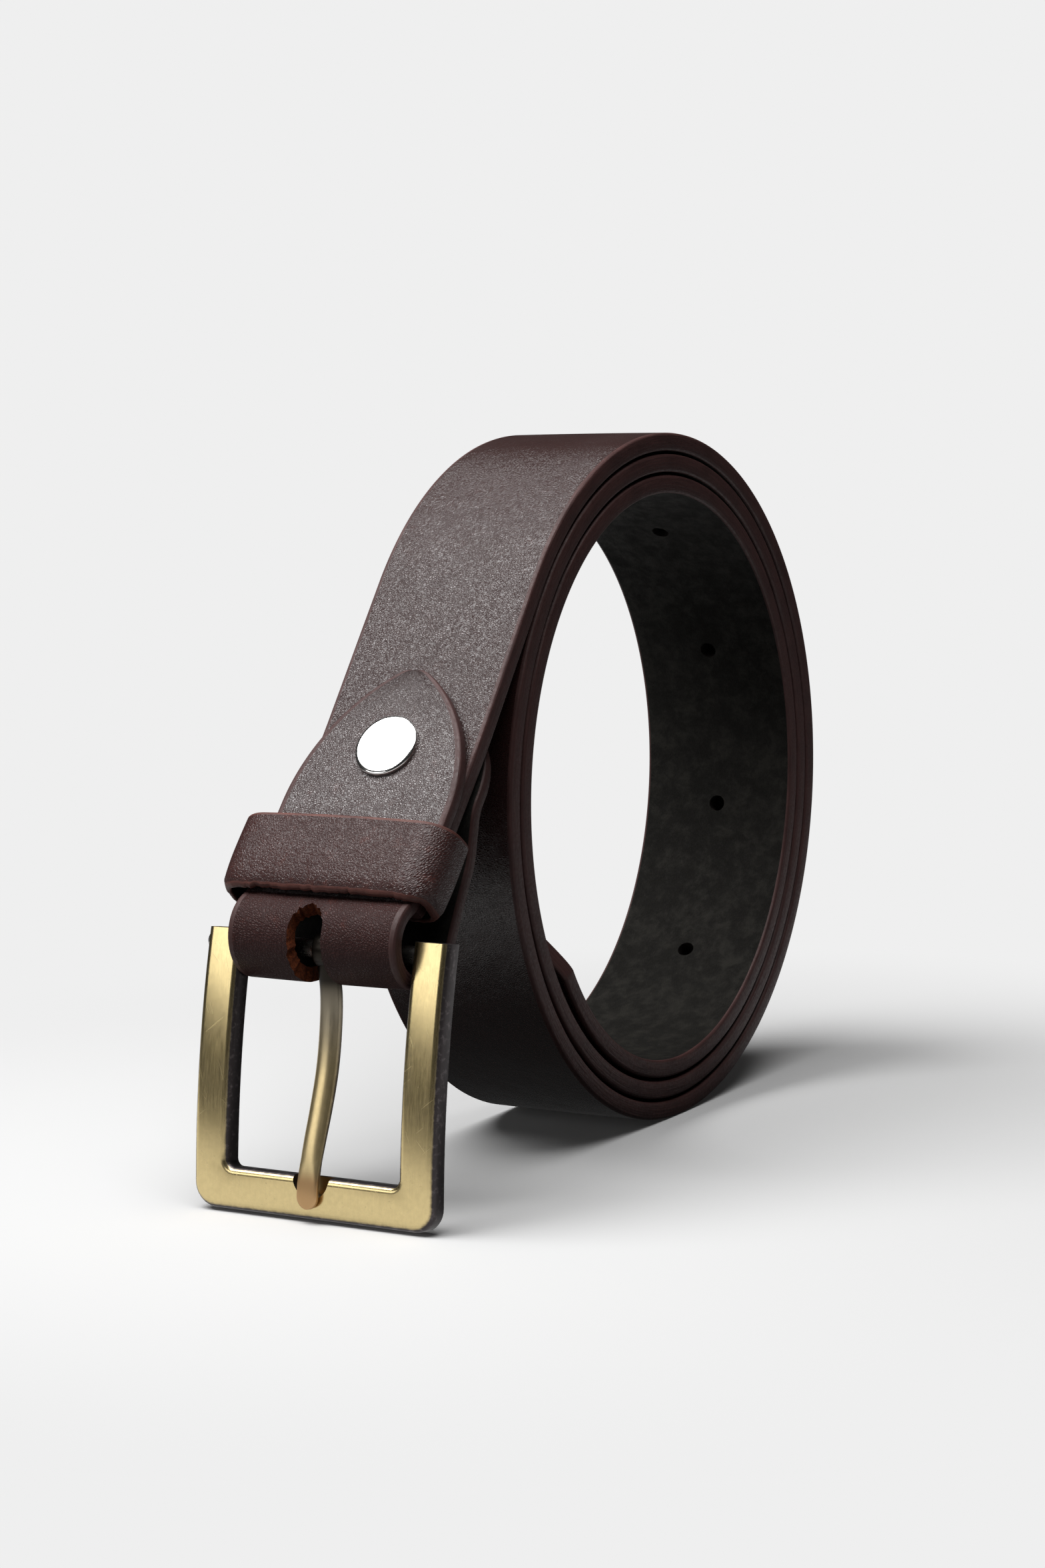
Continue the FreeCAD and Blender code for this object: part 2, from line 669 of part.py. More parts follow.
def build_prong():
    """The prong: an eye round the heel bar and a shank that rises forward over the crossbar."""
    thick = size("prong_thickness")
    length = frame_drop() - 2.0
    face = -size("frame_thickness") / 2 - size("frame_bow")
    root = Vector(-0.1, -1.5, 0)
    knee = Vector(-0.7, -0.44 * length, 0)
    swell = Vector(-1.7, -0.6 * length, 0)
    rise = Vector(face, -0.8 * length, 0)
    crest = Vector(face - 0.4, -0.9 * length, 0)
    point = Vector(face - 0.3, -length, 0)
    flat = point.x + size("prong_tip_thickness")
    under_point = Vector(flat, -length, 0)
    under_lip = Vector(flat, -0.9 * length, 0)
    under_rise = Vector(face + 0.75 * thick, -0.8 * length, 0)
    under_swell = Vector(1.2, -0.6 * length, 0)
    under_knee = Vector(knee.x + thick, knee.y, 0)
    under_root = Vector(root.x + thick, root.y, 0)
    profile = [Part.LineSegment(root, knee), Part.Arc(knee, swell, rise),
               Part.Arc(rise, crest, point), Part.LineSegment(point, under_point),
               Part.LineSegment(under_point, under_lip), Part.LineSegment(under_lip, under_rise),
               Part.Arc(under_rise, under_swell, under_knee),
               Part.LineSegment(under_knee, under_root), Part.LineSegment(under_root, root)]
    side = padded("prong_side", "YZ_Plane", profile, "prong_width")

    half = size("prong_width") / 2
    end = -length + half
    top = 2 * size("prong_eye_radius")
    plan = [Part.LineSegment(Vector(-half, top, 0), Vector(-half, end, 0)),
            Part.Arc(Vector(-half, end, 0), Vector(0, -length, 0), Vector(half, end, 0)),
            Part.LineSegment(Vector(half, end, 0), Vector(half, top, 0)),
            Part.LineSegment(Vector(half, top, 0), Vector(-half, top, 0))]
    outline = padded("prong_plan", "XZ_Plane", plan, "8 * prong_thickness")
    shank = common("prong_shank", side, outline)
    left_face = along_x(Vector(-half, 0, 0))
    eye = cylinder("prong_eye", "prong_eye_radius", "prong_width", left_face)
    bore = cylinder("prong_bore", "bar_radius + pin_clearance", "prong_width", left_face)
    finish(hung(cut("prong_bored", fused("prong_whole", [shank, eye]), bore)), "prong")


build_strap()
build_chape()
build_keeper()
build_screw_post()
build_frame()
build_prong()
doc.recompute()

for item in doc.Objects:
    if "Invalid" in item.State or "Error" in item.State:
        raise RuntimeError(f"{item.Label} failed: {item.State}")
os.makedirs("parts", exist_ok=True)
for item in nodes:
    shape = item.Shape
    if shape.isNull() or not shape.isValid() or len(shape.Solids) != 1:
        raise RuntimeError(f"{item.Label} has no single valid solid")
    shape.exportStep(f"parts/{item.Label}.step")
    box = shape.BoundBox
    print(f"{item.Label:14s} {shape.Volume:10.1f} mm3  X {box.XMin:.2f} {box.XMax:.2f}"
          f"  Y {box.YMin:.2f} {box.YMax:.2f}  Z {box.ZMin:.2f} {box.ZMax:.2f}")
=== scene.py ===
"""Looks of a coiled leather belt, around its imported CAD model: materials, floor, light, camera."""

import math

import bmesh
import bpy
import numpy as np
from mathutils import Matrix, Vector


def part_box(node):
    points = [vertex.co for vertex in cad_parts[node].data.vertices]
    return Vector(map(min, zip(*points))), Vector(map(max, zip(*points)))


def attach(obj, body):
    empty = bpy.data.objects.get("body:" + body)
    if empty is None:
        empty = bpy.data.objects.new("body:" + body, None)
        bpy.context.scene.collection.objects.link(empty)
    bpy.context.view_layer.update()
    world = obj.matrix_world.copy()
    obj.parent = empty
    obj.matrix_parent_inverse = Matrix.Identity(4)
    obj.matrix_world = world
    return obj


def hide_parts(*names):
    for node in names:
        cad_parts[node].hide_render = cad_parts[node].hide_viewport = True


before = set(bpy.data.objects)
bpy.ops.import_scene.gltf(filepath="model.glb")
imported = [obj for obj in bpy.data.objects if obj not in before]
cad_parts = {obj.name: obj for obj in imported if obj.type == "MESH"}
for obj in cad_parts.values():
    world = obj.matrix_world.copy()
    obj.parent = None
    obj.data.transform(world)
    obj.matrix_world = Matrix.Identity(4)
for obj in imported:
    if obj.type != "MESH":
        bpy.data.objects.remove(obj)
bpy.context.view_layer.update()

MM = 0.001
MM_PER_CM = 10

# ---- the belt's own sizes in millimetres and degrees, as in the CAD ----
BELT_WIDTH = 35.0
STRAP_THICKNESS = 3.6
COIL_RADIUS = 69.03
LAYER_PITCH = 4.23
COIL_OVAL = 1.78
COIL_AHEAD = 20.94
LEAVING_ANGLE = 53.0
COIL_END = 957.0
TIP_LENGTH = 22.0
FREE_RUN = 70.0
HOLE_COUNT = 5
HOLE_RADIUS = 1.8
HOLE_PITCH = 36.6
TIP_TO_HOLE = 120.7
CHAPE_WIDTH = 36.4
CHAPE_THICKNESS = 2.7
CHAPE_START = 20.8
CHAPE_POINT = 30.0
FOLD_FLOOR = 4.0
FOLD_BACK_RADIUS = 5.6
BACK_LEG_ANGLE = 64.0
BACK_LEG_CLOSE = 80.0
BACK_LEG_CLOSE_RUN = 6.5
BACK_LEG_BEND = 9.0
CHAPE_BACK_END = 19.5
SLOT_WIDTH = 7.5
SLOT_OFFSET = 1.25
SLOT_RUN = 72.6
RIVET_RUN = 38.0
POST_RADIUS = 2.5
KEEPER_RUN = 54.7
KEEPER_BAND = 15.0
KEEPER_THICKNESS = 2.1
KEEPER_INSIDE = 42.0
KEEPER_FRONT_SLACK = 1.3
KEEPER_BACK_SLACK = 0.45
KEEPER_GAP = 0.4
KEEPER_ASIDE = 1.5
FRAME_WIDTH = 52.4
WINDOW_WIDTH = 37.2
FRAME_THICKNESS = 4.0
FRAME_BOW = 1.6
FRAME_CORNER = 4.5
WINDOW_CORNER = 1.4
CROSSBAR = 7.9
NOTCH_RADIUS = 3.9
LEG_ABOVE_BAR = 2.6
FRAME_LEAN = 8.7
BAR_RADIUS = 1.75
PRONG_WIDTH = 4.4
EYE_RADIUS = 3.5

# ---- sizes that the CAD does without, or has slightly different ----
DRIFT = 1.4             # to the left, of the hanging end
DRIFT_START = 30.0      # down the free run
DRIFT_RUN = 45.0
TIP_SPRING = 2.4        # of the strap's point, in from the turn outside it
TIP_SPRING_TURN = 60.0
GRAIN_CROWN = 0.08      # of a strip's middle over its sides
EDGE_BULGE = 0.1
FOLD_RUN = 74.8
FOLD_DEPTH = 3.6
FOLD_RADIUS = 5.6
FOLD_START = 50.0       # along the tab, where its leather starts to turn round the bar; from here on its grain and edges take a painted shade under the keeper
BACK_LEG_RUN = 15.4
APEX_RADIUS = 6.0       # of the tab's point
CHAPE_SPREAD = 0.25     # of the tab's front leg, on each side
SPREAD_END = 34.0       # along the tab, where it starts to narrow again
SPREAD_FADE = 14.0
CHAPE_SKIVE_RUN = 14.0
CHAPE_SKIVE = 0.6       # share of the thickness that is pared off the tab's back end
POINT_ROUNDING = 0.9
SLOT_LOWERED = 0.9
SLOT_LENGTH = 23.0
NOTCH_DEPTH = 2.5
EYE_BORE = 1.83

PATH_STEP = 0.25
STRAP_CUT = (-9.0, 4.0)  # heights between which a cutter goes through the flat blank
CHAPE_CUT = (-8.0, 4.0)
SLOT_SEED = 4
KEEPER_SEED = 11
NEAR_AXIS = 0.001        # radius of a turned piece's middle, before its vertices are joined


# ---- paths in the YZ plane: distance along, place, and the direction out of the grain side ----

def coil_place(degrees):
    """Grain side of the coil about its middle, and its outward direction."""
    angle = np.radians(degrees)
    reach = COIL_RADIUS - LAYER_PITCH * degrees / 360 + COIL_OVAL * np.cos(2 * angle)
    slip = -LAYER_PITCH / (2 * math.pi) - 2 * COIL_OVAL * np.sin(2 * angle)
    out = np.stack([np.sin(angle), np.cos(angle)], -1)
    along = np.stack([np.cos(angle), -np.sin(angle)], -1)
    return out * reach[..., None] + along * slip[..., None], out


def with_distance(places, outs):
    """A path: the distance along it, its places and its directions out."""
    steps = np.linalg.norm(np.diff(places, axis=0), axis=1)
    return np.concatenate([[0.0], np.cumsum(steps)]), places, outs


lowest, _ = coil_place(np.array([180.0]))
COIL_MIDDLE = np.array([COIL_AHEAD, -lowest[0, 1]])
heading = math.radians(LEAVING_ANGLE)
DOWN = np.array([-math.cos(heading), -math.sin(heading)])
OUT = np.array([-math.sin(heading), math.cos(heading)])
join, _ = coil_place(np.array([-LEAVING_ANGLE]))
JOIN = COIL_MIDDLE + join[0]


def on_run(down, out=0.0):
    """A point of the YZ plane beside the free run."""
    return JOIN + DOWN * down + OUT * out


def aside(down):
    """How far the hanging end has drifted to the left, at a distance down the free run."""
    share = np.clip((np.asarray(down, float) - DRIFT_START) / DRIFT_RUN, 0, 1)
    return -DRIFT * share ** 2 * (3 - 2 * share)


def strap_path():
    """The strap's grain side: up the free run, then round the coil to the tip."""
    tip_turn = math.degrees(TIP_LENGTH / (COIL_RADIUS - LAYER_PITCH * COIL_END / 360))
    degrees = np.arange(-LEAVING_ANGLE, COIL_END + tip_turn, 0.5)
    places, outs = coil_place(degrees)
    places = places + COIL_MIDDLE
    # The tip springs a little way in from the turn outside it.
    lift = np.clip((degrees - (COIL_END - TIP_SPRING_TURN)) / (TIP_SPRING_TURN + tip_turn), 0, 1)
    places = places - outs * (TIP_SPRING * lift ** 2)[:, None]
    run = np.arange(FREE_RUN, 0, -1.0)
    places = np.concatenate([JOIN + run[:, None] * DOWN, places])
    outs = np.concatenate([np.repeat(OUT[None], len(run), 0), outs])
    return with_distance(places, outs)


def walked_path(start, heading_degrees, moves):
    """Points along straight runs and arcs; a left turn is positive, out is to the right."""
    places = [np.array(start)]
    facings = [math.radians(heading_degrees)]
    for length, turn in moves:
        count = max(2, int(length / PATH_STEP))
        for _ in range(count):
            half = math.radians(turn) / count / 2
            facing = facings[-1] + half
            chord = length / count
            places.append(places[-1] + chord * np.array([math.cos(facing), math.sin(facing)]))
            facings.append(facing + half)
    facings = np.array(facings)
    outs = np.stack([np.sin(facings), -np.cos(facings)], -1)
    return with_distance(np.array(places), outs)


def chape_path():
    """The tab's flesh side: down the strap's front, round the bar, and up its back."""
    rise = FOLD_RADIUS - FOLD_DEPTH
    swing = math.acos(1 - rise / (2 * FOLD_RADIUS))
    straight = FOLD_RUN - CHAPE_START - 2 * FOLD_RADIUS * math.sin(swing)
    down_heading = LEAVING_ANGLE - 180
    round_turn = math.degrees(swing) - down_heading
    close_turn = BACK_LEG_CLOSE - BACK_LEG_ANGLE
    last_turn = BACK_LEG_CLOSE - LEAVING_ANGLE
    moves = [(straight, 0.0),
             (FOLD_RADIUS * swing, -math.degrees(swing)),
             (FOLD_RADIUS * math.radians(round_turn), round_turn),
             (FOLD_FLOOR, 0.0),
             (FOLD_BACK_RADIUS * math.radians(BACK_LEG_ANGLE), BACK_LEG_ANGLE),
             (BACK_LEG_RUN, 0.0),
             (BACK_LEG_BEND * math.radians(close_turn), close_turn),
             (BACK_LEG_CLOSE_RUN, 0.0),
             (BACK_LEG_BEND * math.radians(last_turn), -last_turn),
             (CHAPE_BACK_END, 0.0)]
    return walked_path(on_run(CHAPE_START), down_heading, moves)


# ---- meshes ----

def placed(name, data):
    """A new object in the scene."""
    obj = bpy.data.objects.new(name, data)
    bpy.context.scene.collection.objects.link(obj)
    return obj


def normals_out(mesh, weld=0.0):
    """Turn all faces outwards, once the vertices that lie within the weld distance are joined."""
    work = bmesh.new()
    work.from_mesh(mesh)
    if weld:
        bmesh.ops.remove_doubles(work, verts=work.verts, dist=weld)
    bmesh.ops.recalc_face_normals(work, faces=work.faces)
    work.to_mesh(mesh)
    work.free()


def smooth(obj, degrees=35):
    """Shade smoothly, apart from edges that turn by more than this."""
    mesh = obj.data
    mesh.shade_smooth()
    mesh.set_sharp_from_angle(angle=math.radians(degrees))


def grid_faces(rows, columns, closed_rows=False, closed_columns=False, first=0):
    """Quads over rows of vertices; a closed way runs on to where it started."""
    faces = []
    for i in range(rows if closed_rows else rows - 1):
        near = first + i * columns
        far = first + (i + 1) % rows * columns
        for j in range(columns if closed_columns else columns - 1):
            k = (j + 1) % columns
            faces.append((near + j, near + k, far + k, far + j))
    return faces


def extruded(corners, reach):
    """A face on the corners, grown by the vector `reach` into a closed solid."""
    work = bmesh.new()
    face = work.faces.new([work.verts.new(corner) for corner in corners])
    grown = bmesh.ops.extrude_face_region(work, geom=[face])
    moved = [v for v in grown["geom"] if isinstance(v, bmesh.types.BMVert)]
    bmesh.ops.translate(work, verts=moved, vec=reach)
    bmesh.ops.recalc_face_normals(work, faces=work.faces)
    return work


def object_from(name, work, material):
    """An object from a finished bmesh."""
    mesh = bpy.data.meshes.new(name)
    work.to_mesh(mesh)
    work.free()
    mesh.materials.append(material)
    return placed(name, mesh)


def prism(name, outline, low, high, material):
    """A closed solid over an XY outline, between two heights."""
    work = extruded([(x, y, low) for x, y in outline], (0, 0, high - low))
    return object_from(name, work, material)


def circle(middle, radius):
    """Outline of a round hole on a strip's middle line."""
    turns = np.linspace(0, 2 * math.pi, 28, endpoint=False)
    return [(radius * math.cos(t), middle + radius * math.sin(t)) for t in turns]


def arc_points(x, z, radius, first, last, count=10):
    """Points of an arc about (x, z), between two angles in degrees."""
    turns = np.radians(np.linspace(first, last, count))
    return [(x + radius * math.cos(t), z + radius * math.sin(t)) for t in turns]


def smooth_curve(at, knots, values):
    """Smooth curve through a few values: monotone knots, cubic pieces."""
    slopes = np.gradient(values, knots)
    index = np.clip(np.searchsorted(knots, at) - 1, 0, len(knots) - 2)
    span = knots[index + 1] - knots[index]
    t = np.clip((at - knots[index]) / span, 0, 1)
    a, b = values[index], values[index + 1]
    ma, mb = slopes[index] * span, slopes[index + 1] * span
    return ((2 * t ** 3 - 3 * t ** 2 + 1) * a + (t ** 3 - 2 * t ** 2 + t) * ma
            + (3 * t ** 2 - 2 * t ** 3) * b + (t ** 3 - t ** 2) * mb)


# ---- leather: a flat blank with rounded edges, punched flat and then bent along a path ----

ON_GRAIN, ON_EDGE, ON_FLESH, ON_SHADED_FOLD, ON_SHADED_FOLD_EDGE = range(5)  # material slots of a blank; the last two are darker, duller copies that carry painted shade


def cross_section(half, thickness, top_edge, low_edge, rim, columns):
    """Points (across, depth, slot) once round a strip."""
    top_edge = min(top_edge, half * 0.8, thickness * 0.45)
    low_edge = min(low_edge, half * 0.8, thickness * 0.45)
    rim = min(rim, (half - top_edge) * 0.5)
    right = [(half - top_edge, 0.0)]
    for turn in np.radians([25, 50, 75]):
        right.append((half - top_edge + top_edge * math.sin(turn), top_edge * (1 - math.cos(turn))))
    for share in (0.0, 0.33, 0.67, 1.0):
        bulge = EDGE_BULGE * math.sin(math.pi * share)
        right.append((half + bulge, top_edge + share * (thickness - top_edge - low_edge)))
    for turn in np.radians([30, 60]):
        right.append((half - low_edge * (1 - math.cos(turn)),
                      thickness - low_edge * (1 - math.sin(turn))))
    left = [(-x, depth) for x, depth in reversed(right)]
    top = [(share * (half - top_edge - rim), -GRAIN_CROWN * (1 - share ** 2))
           for share in np.linspace(-1, 1, columns)]
    bottom = [(share * (half - low_edge), thickness) for share in np.linspace(1, -1, columns)]
    points = []
    for side, slot in ((left[-1:], ON_EDGE), (top, ON_GRAIN), (right, ON_EDGE),
                       (bottom, ON_FLESH), (left[:-1], ON_EDGE)):
        points += [(x, depth, slot) for x, depth in side]
    return points


def flat_blank(name, stations, half_width, thickness, top_edge, low_edge, rim, columns, materials):
    """A flat strip: X across, Y along, Z up out of the grain side; UVs are centimetres."""
    rows = [cross_section(half_width(u), thickness(u), top_edge, low_edge, rim, columns)
            for u in stations]
    ring = len(rows[0])
    last = (len(stations) - 1) * ring
    verts = [(x, u, -depth) for u, row in zip(stations, rows) for x, depth, _ in row]
    faces = grid_faces(len(stations), ring, closed_columns=True)
    faces.append(tuple(range(ring))[::-1])
    faces.append(tuple(last + j for j in range(ring)))

    sides = [point[2] for point in rows[0]]
    slots = [a if a == b else ON_EDGE for a, b in zip(sides, sides[1:] + sides[:1])]
    slots = slots * (len(stations) - 1) + [ON_EDGE, ON_EDGE]

    girth = [0.0]
    middle = rows[len(rows) // 2]
    for a, b in zip(middle, middle[1:] + middle[:1]):
        girth.append(girth[-1] + math.hypot(a[0] - b[0], a[1] - b[1]))
    around = [distance / MM_PER_CM for distance in girth]
    along = [u / MM_PER_CM for u in stations]
    uvs = []
    for near, far in zip(along, along[1:]):
        for left, right in zip(around, around[1:]):
            uvs += [(near, left), (near, right), (far, right), (far, left)]
    uvs += [(along[0], v) for v in around[:ring]][::-1]
    uvs += [(along[-1], v) for v in around[:ring]]

    mesh = bpy.data.meshes.new(name)
    mesh.from_pydata(verts, [], faces)
    layer = mesh.uv_layers.new(name="run")
    layer.data.foreach_set("uv", np.array(uvs, np.float32).ravel())
    for material in materials:
        mesh.materials.append(material)
    mesh.polygons.foreach_set("material_index", slots)
    normals_out(mesh)
    return placed(name, mesh)


def punch(blank, cutters):
    """Cut the cutters out of a blank, and remove them."""
    for cutter in cutters:
        modifier = blank.modifiers.new("punch", "BOOLEAN")
        modifier.operation = "DIFFERENCE"
        modifier.solver = "EXACT"
        modifier.material_mode = "TRANSFER"
        modifier.object = cutter
    depsgraph = bpy.context.evaluated_depsgraph_get()
    mesh = bpy.data.meshes.new_from_object(blank.evaluated_get(depsgraph))
    blank.modifiers.clear()
    old = blank.data
    blank.data = mesh
    bpy.data.meshes.remove(old)
    for cutter in cutters:
        bpy.data.objects.remove(cutter)


def bend(blank, path, surface=0.0, drift=None):
    """Bend a flat blank so that its height `surface` follows a path of the YZ plane."""
    distance, places, outs = path
    mesh = blank.data
    flat = np.empty(len(mesh.vertices) * 3, np.float32)
    mesh.vertices.foreach_get("co", flat)
    flat = flat.reshape(-1, 3).astype(float)
    along = flat[:, 1]
    place = np.stack([np.interp(along, distance, places[:, i]) for i in range(2)], -1)
    out = np.stack([np.interp(along, distance, outs[:, i]) for i in range(2)], -1)
    out /= np.linalg.norm(out, axis=1)[:, None]
    ahead = np.stack([out[:, 1], -out[:, 0]], -1)
    beyond = along - np.clip(along, distance[0], distance[-1])
    yz = place + out * (flat[:, 2] - surface)[:, None] + ahead * beyond[:, None]
    if drift is None:
        drift = aside((yz - JOIN) @ DOWN)
    bent = np.concatenate([flat[:, :1] + drift[:, None], yz], 1) * MM
    mesh.vertices.foreach_set("co", bent.astype(np.float32).ravel())
    mesh.update()


# ---- materials ----

IN_MM = (1000, 1000, 1000)  # scale that turns metres into millimetres


def shade(color, factor):
    """A lighter or darker shade of a colour."""
    return tuple(min(1, c * factor) for c in color)


def new_material(name, color, roughness, metallic=0.0, specular=0.5):
    """A plain material, with its node tree and its shader."""
    material = bpy.data.materials.new(name)
    material.use_nodes = True
    shader = material.node_tree.nodes["Principled BSDF"]
    shader.inputs["Base Color"].default_value = (*color, 1)
    shader.inputs["Roughness"].default_value = roughness
    shader.inputs["Metallic"].default_value = metallic
    shader.inputs["Specular IOR Level"].default_value = specular
    return material, material.node_tree, shader


class Graph:
    """Short calls for adding and linking shader nodes."""

    def __init__(self, tree):
        self.tree = tree

    def feed(self, value, socket):
        """Link an output, or set a plain value."""
        if isinstance(value, bpy.types.NodeSocket):
            self.tree.links.new(value, socket)
        else:
            socket.default_value = value

    def node(self, kind, **inputs):
        node = self.tree.nodes.new(kind)
        for key, value in inputs.items():
            self.feed(value, node.inputs[key.replace("_", " ")])
        return node

    def math(self, operation, a, b=0.0):
        node = self.tree.nodes.new("ShaderNodeMath")
        node.operation = operation
        self.feed(a, node.inputs[0])
        self.feed(b, node.inputs[1])
        return node.outputs[0]

    def vector_math(self, operation, *values):
        node = self.tree.nodes.new("ShaderNodeVectorMath")
        node.operation = operation
        for value, socket in zip(values, node.inputs):
            self.feed(value, socket)
        return node

    def scaled(self, vector, scale):
        mapping = self.node("ShaderNodeMapping", Vector=vector)
        mapping.inputs["Scale"].default_value = scale
        return mapping.outputs["Vector"]

    def run(self, scale=(1, 1, 1)):
        """Texture place: the leather's own run, in centimetres."""
        source = self.node("ShaderNodeUVMap")
        source.uv_map = "run"
        return self.scaled(source.outputs["UV"], scale)

    def own(self, scale):
        """Texture place: the piece's own metres."""
        return self.scaled(self.node("ShaderNodeTexCoord").outputs["Object"], scale)

    def turned(self, vector, rotation, scale):
        """Turn a texture place first, and stretch it afterwards."""
        turn = self.node("ShaderNodeMapping", Vector=vector)
        turn.inputs["Rotation"].default_value = rotation
        return self.scaled(turn.outputs["Vector"], scale)

    def warp(self, vector, scale, amount):
        """Shift a texture place by noise, so that lines wander."""
        noise = self.node("ShaderNodeTexNoise", Vector=vector, Scale=scale, Detail=2.0)
        push = self.vector_math("MULTIPLY_ADD", noise.outputs["Color"], (amount,) * 3, vector)
        return push.outputs[0]

    def noise(self, vector, scale, detail=2.0, rough=0.5, distortion=0.0):
        node = self.node("ShaderNodeTexNoise", Vector=vector, Scale=scale, Detail=detail,
                         Roughness=rough, Distortion=distortion)
        return node.outputs["Fac"]

    def cells(self, vector, scale):
        """Distance to the nearest border between cells."""
        node = self.node("ShaderNodeTexVoronoi", Vector=vector, Scale=scale)
        node.feature = "DISTANCE_TO_EDGE"
        return node.outputs["Distance"]

    def ramp(self, value, low, high, to_low=0.0, to_high=1.0):
        """Run softly from to_low to to_high while the value runs from low to high."""
        node = self.node("ShaderNodeMapRange", Value=value)
        node.interpolation_type = "SMOOTHSTEP"
        for key, number in (("From Min", low), ("From Max", high),
                            ("To Min", to_low), ("To Max", to_high)):
            node.inputs[key].default_value = number
        return node.outputs["Result"]

    def mix(self, factor, a, b):
        """Mix two colours; each is a node's output or three plain numbers."""
        node = self.tree.nodes.new("ShaderNodeMix")
        node.data_type = "RGBA"
        self.feed(factor, node.inputs["Factor"])
        for key, color in (("A", a), ("B", b)):
            plain = not isinstance(color, bpy.types.NodeSocket)
            self.feed((*color, 1) if plain else color, node.inputs[key])
        return node.outputs["Result"]

    def bump(self, height, strength, distance, below=None):
        node = self.node("ShaderNodeBump", Height=height, Strength=strength, Distance=distance)
        if below is not None:
            self.feed(below, node.inputs["Normal"])
        return node.outputs["Normal"]


GRAIN = (0.028, 0.0102, 0.0092)
GRAIN_LIGHT = (0.033, 0.0145, 0.0133)
WORN = (0.085, 0.024, 0.018)
BRASS = (0.71, 0.565, 0.285)
GUNMETAL = (0.06, 0.052, 0.053)
PRONG_BRASS = (0.66, 0.52, 0.275)
PRONG_DARK = (0.16, 0.13, 0.1)
# The prong's colour changes between two heights over the floor, in metres: copper near the tip,
# grey-brown higher up, and near black at the top, a painted shade where the eye sits in the tab's
# slot.
PRONG_TONES_AND_SHADE = (((0.5, 0.31, 0.15), 0.0105, 0.0075),
                ((0.46, 0.4, 0.3), 0.024, 0.04),
                ((0.02, 0.017, 0.014), 0.037, 0.0435))
CALM_AND_SHADE_FROM = 8.5  # centimetres along the strap, where it is pulled round the coil; from here on the grain is smoother and painted darker, a painted shade
CALM_AND_SHADE_RUN = 4.5


def grain_leather(name, color, light, wear, gloss, dull=0.0, calm_and_shade_from=0.0):
    """Finished leather: short wandering creases across the strap, satin, lightly rubbed."""
    material, tree, shader = new_material(name, color, 0.5, specular=gloss)
    g = Graph(tree)
    place = g.run()
    stretched = g.turned(g.warp(place, 2.5, 0.12), (0, 0, 0.35), (1.45, 0.8, 1.0))
    pebbles = g.ramp(g.cells(stretched, 22.0), 0.0, 0.32)
    fine = g.noise(stretched, 40.0, 3.0, 0.6)
    patches = g.noise(place, 0.9, 4.0, 0.6)
    rubs = g.ramp(g.noise(place, 3.2, 5.0, 0.65), 0.56, 0.72, 0.0, wear)
    tone = g.mix(g.ramp(patches, 0.35, 0.7), color, light)
    tone = g.mix(rubs, tone, WORN)
    # Darker in the creases between the pebbles: painted shade.
    tone = g.mix(g.ramp(pebbles, 0.0, 0.6, 0.5, 0.0), tone, shade(color, 0.35))
    polish = g.math("ADD", g.ramp(pebbles, 0.0, 1.0, 0.42 + dull, 0.26 + dull),
                    g.ramp(patches, 0.3, 0.7, 0.04, -0.04))
    height = g.math("ADD", pebbles, g.math("MULTIPLY", fine, 0.5))
    if calm_and_shade_from:
        # Leather that is pulled round a bend is smoother; its colour is also painted darker there,
        # as painted shade.
        run = g.node("ShaderNodeSeparateXYZ", Vector=place).outputs["X"]
        calm_and_shade = g.ramp(run, calm_and_shade_from, calm_and_shade_from + CALM_AND_SHADE_RUN)
        tone = g.mix(g.math("MULTIPLY", calm_and_shade, 0.35), tone, shade(color, 0.5))
        polish = g.math("SUBTRACT", polish, g.math("MULTIPLY", calm_and_shade, 0.05))
        height = g.math("MULTIPLY", height, g.ramp(calm_and_shade, 0.0, 1.0, 1.0, 0.35))
    g.feed(tone, shader.inputs["Base Color"])
    g.feed(polish, shader.inputs["Roughness"])
    slow = g.bump(patches, 0.5, 0.0008)
    g.feed(g.bump(height, 0.72, 0.0001, slow), shader.inputs["Normal"])
    return material


def painted_edge(name, color, light):
    """Painted and burnished cut edge: fine streaks that follow the strap, small specks."""
    material, tree, shader = new_material(name, color, 0.5, specular=0.3)
    g = Graph(tree)
    place = g.run()
    streaks = g.noise(g.run((0.35, 9.0, 1.0)), 3.0, 4.0, 0.6)
    specks = g.noise(place, 14.0, 3.0, 0.6)
    patches = g.noise(place, 1.3, 3.0, 0.5)
    tone = g.mix(g.ramp(streaks, 0.35, 0.68), color, light)
    tone = g.mix(g.ramp(patches, 0.45, 0.7, 0.0, 0.5), tone, shade(color, 0.6))
    g.feed(tone, shader.inputs["Base Color"])
    g.feed(g.ramp(specks, 0.3, 0.7, 0.48, 0.64), shader.inputs["Roughness"])
    height = g.math("ADD", streaks, g.math("MULTIPLY", specks, 0.5))
    g.feed(g.bump(height, 0.5, 0.00025), shader.inputs["Normal"])
    return material


def flesh_leather(name, color, light):
    """Dark rough side: matt, mottled, with short loose fibres."""
    material, tree, shader = new_material(name, color, 0.85, specular=0.15)
    g = Graph(tree)
    mottle = g.noise(g.warp(g.run(), 2.0, 0.3), 2.6, 6.0, 0.68)
    fibres = g.noise(g.run((1.0, 3.0, 1.0)), 16.0, 5.0, 0.7, 0.6)
    tone = g.mix(g.ramp(mottle, 0.42, 0.7), color, light)
    tone = g.mix(g.ramp(fibres, 0.45, 0.75, 0.0, 0.5), tone, shade(light, 1.7))
    g.feed(tone, shader.inputs["Base Color"])
    g.feed(g.ramp(mottle, 0.3, 0.7, 0.92, 0.7), shader.inputs["Roughness"])
    g.feed(g.bump(g.math("ADD", fibres, mottle), 0.7, 0.0004), shader.inputs["Normal"])
    return material


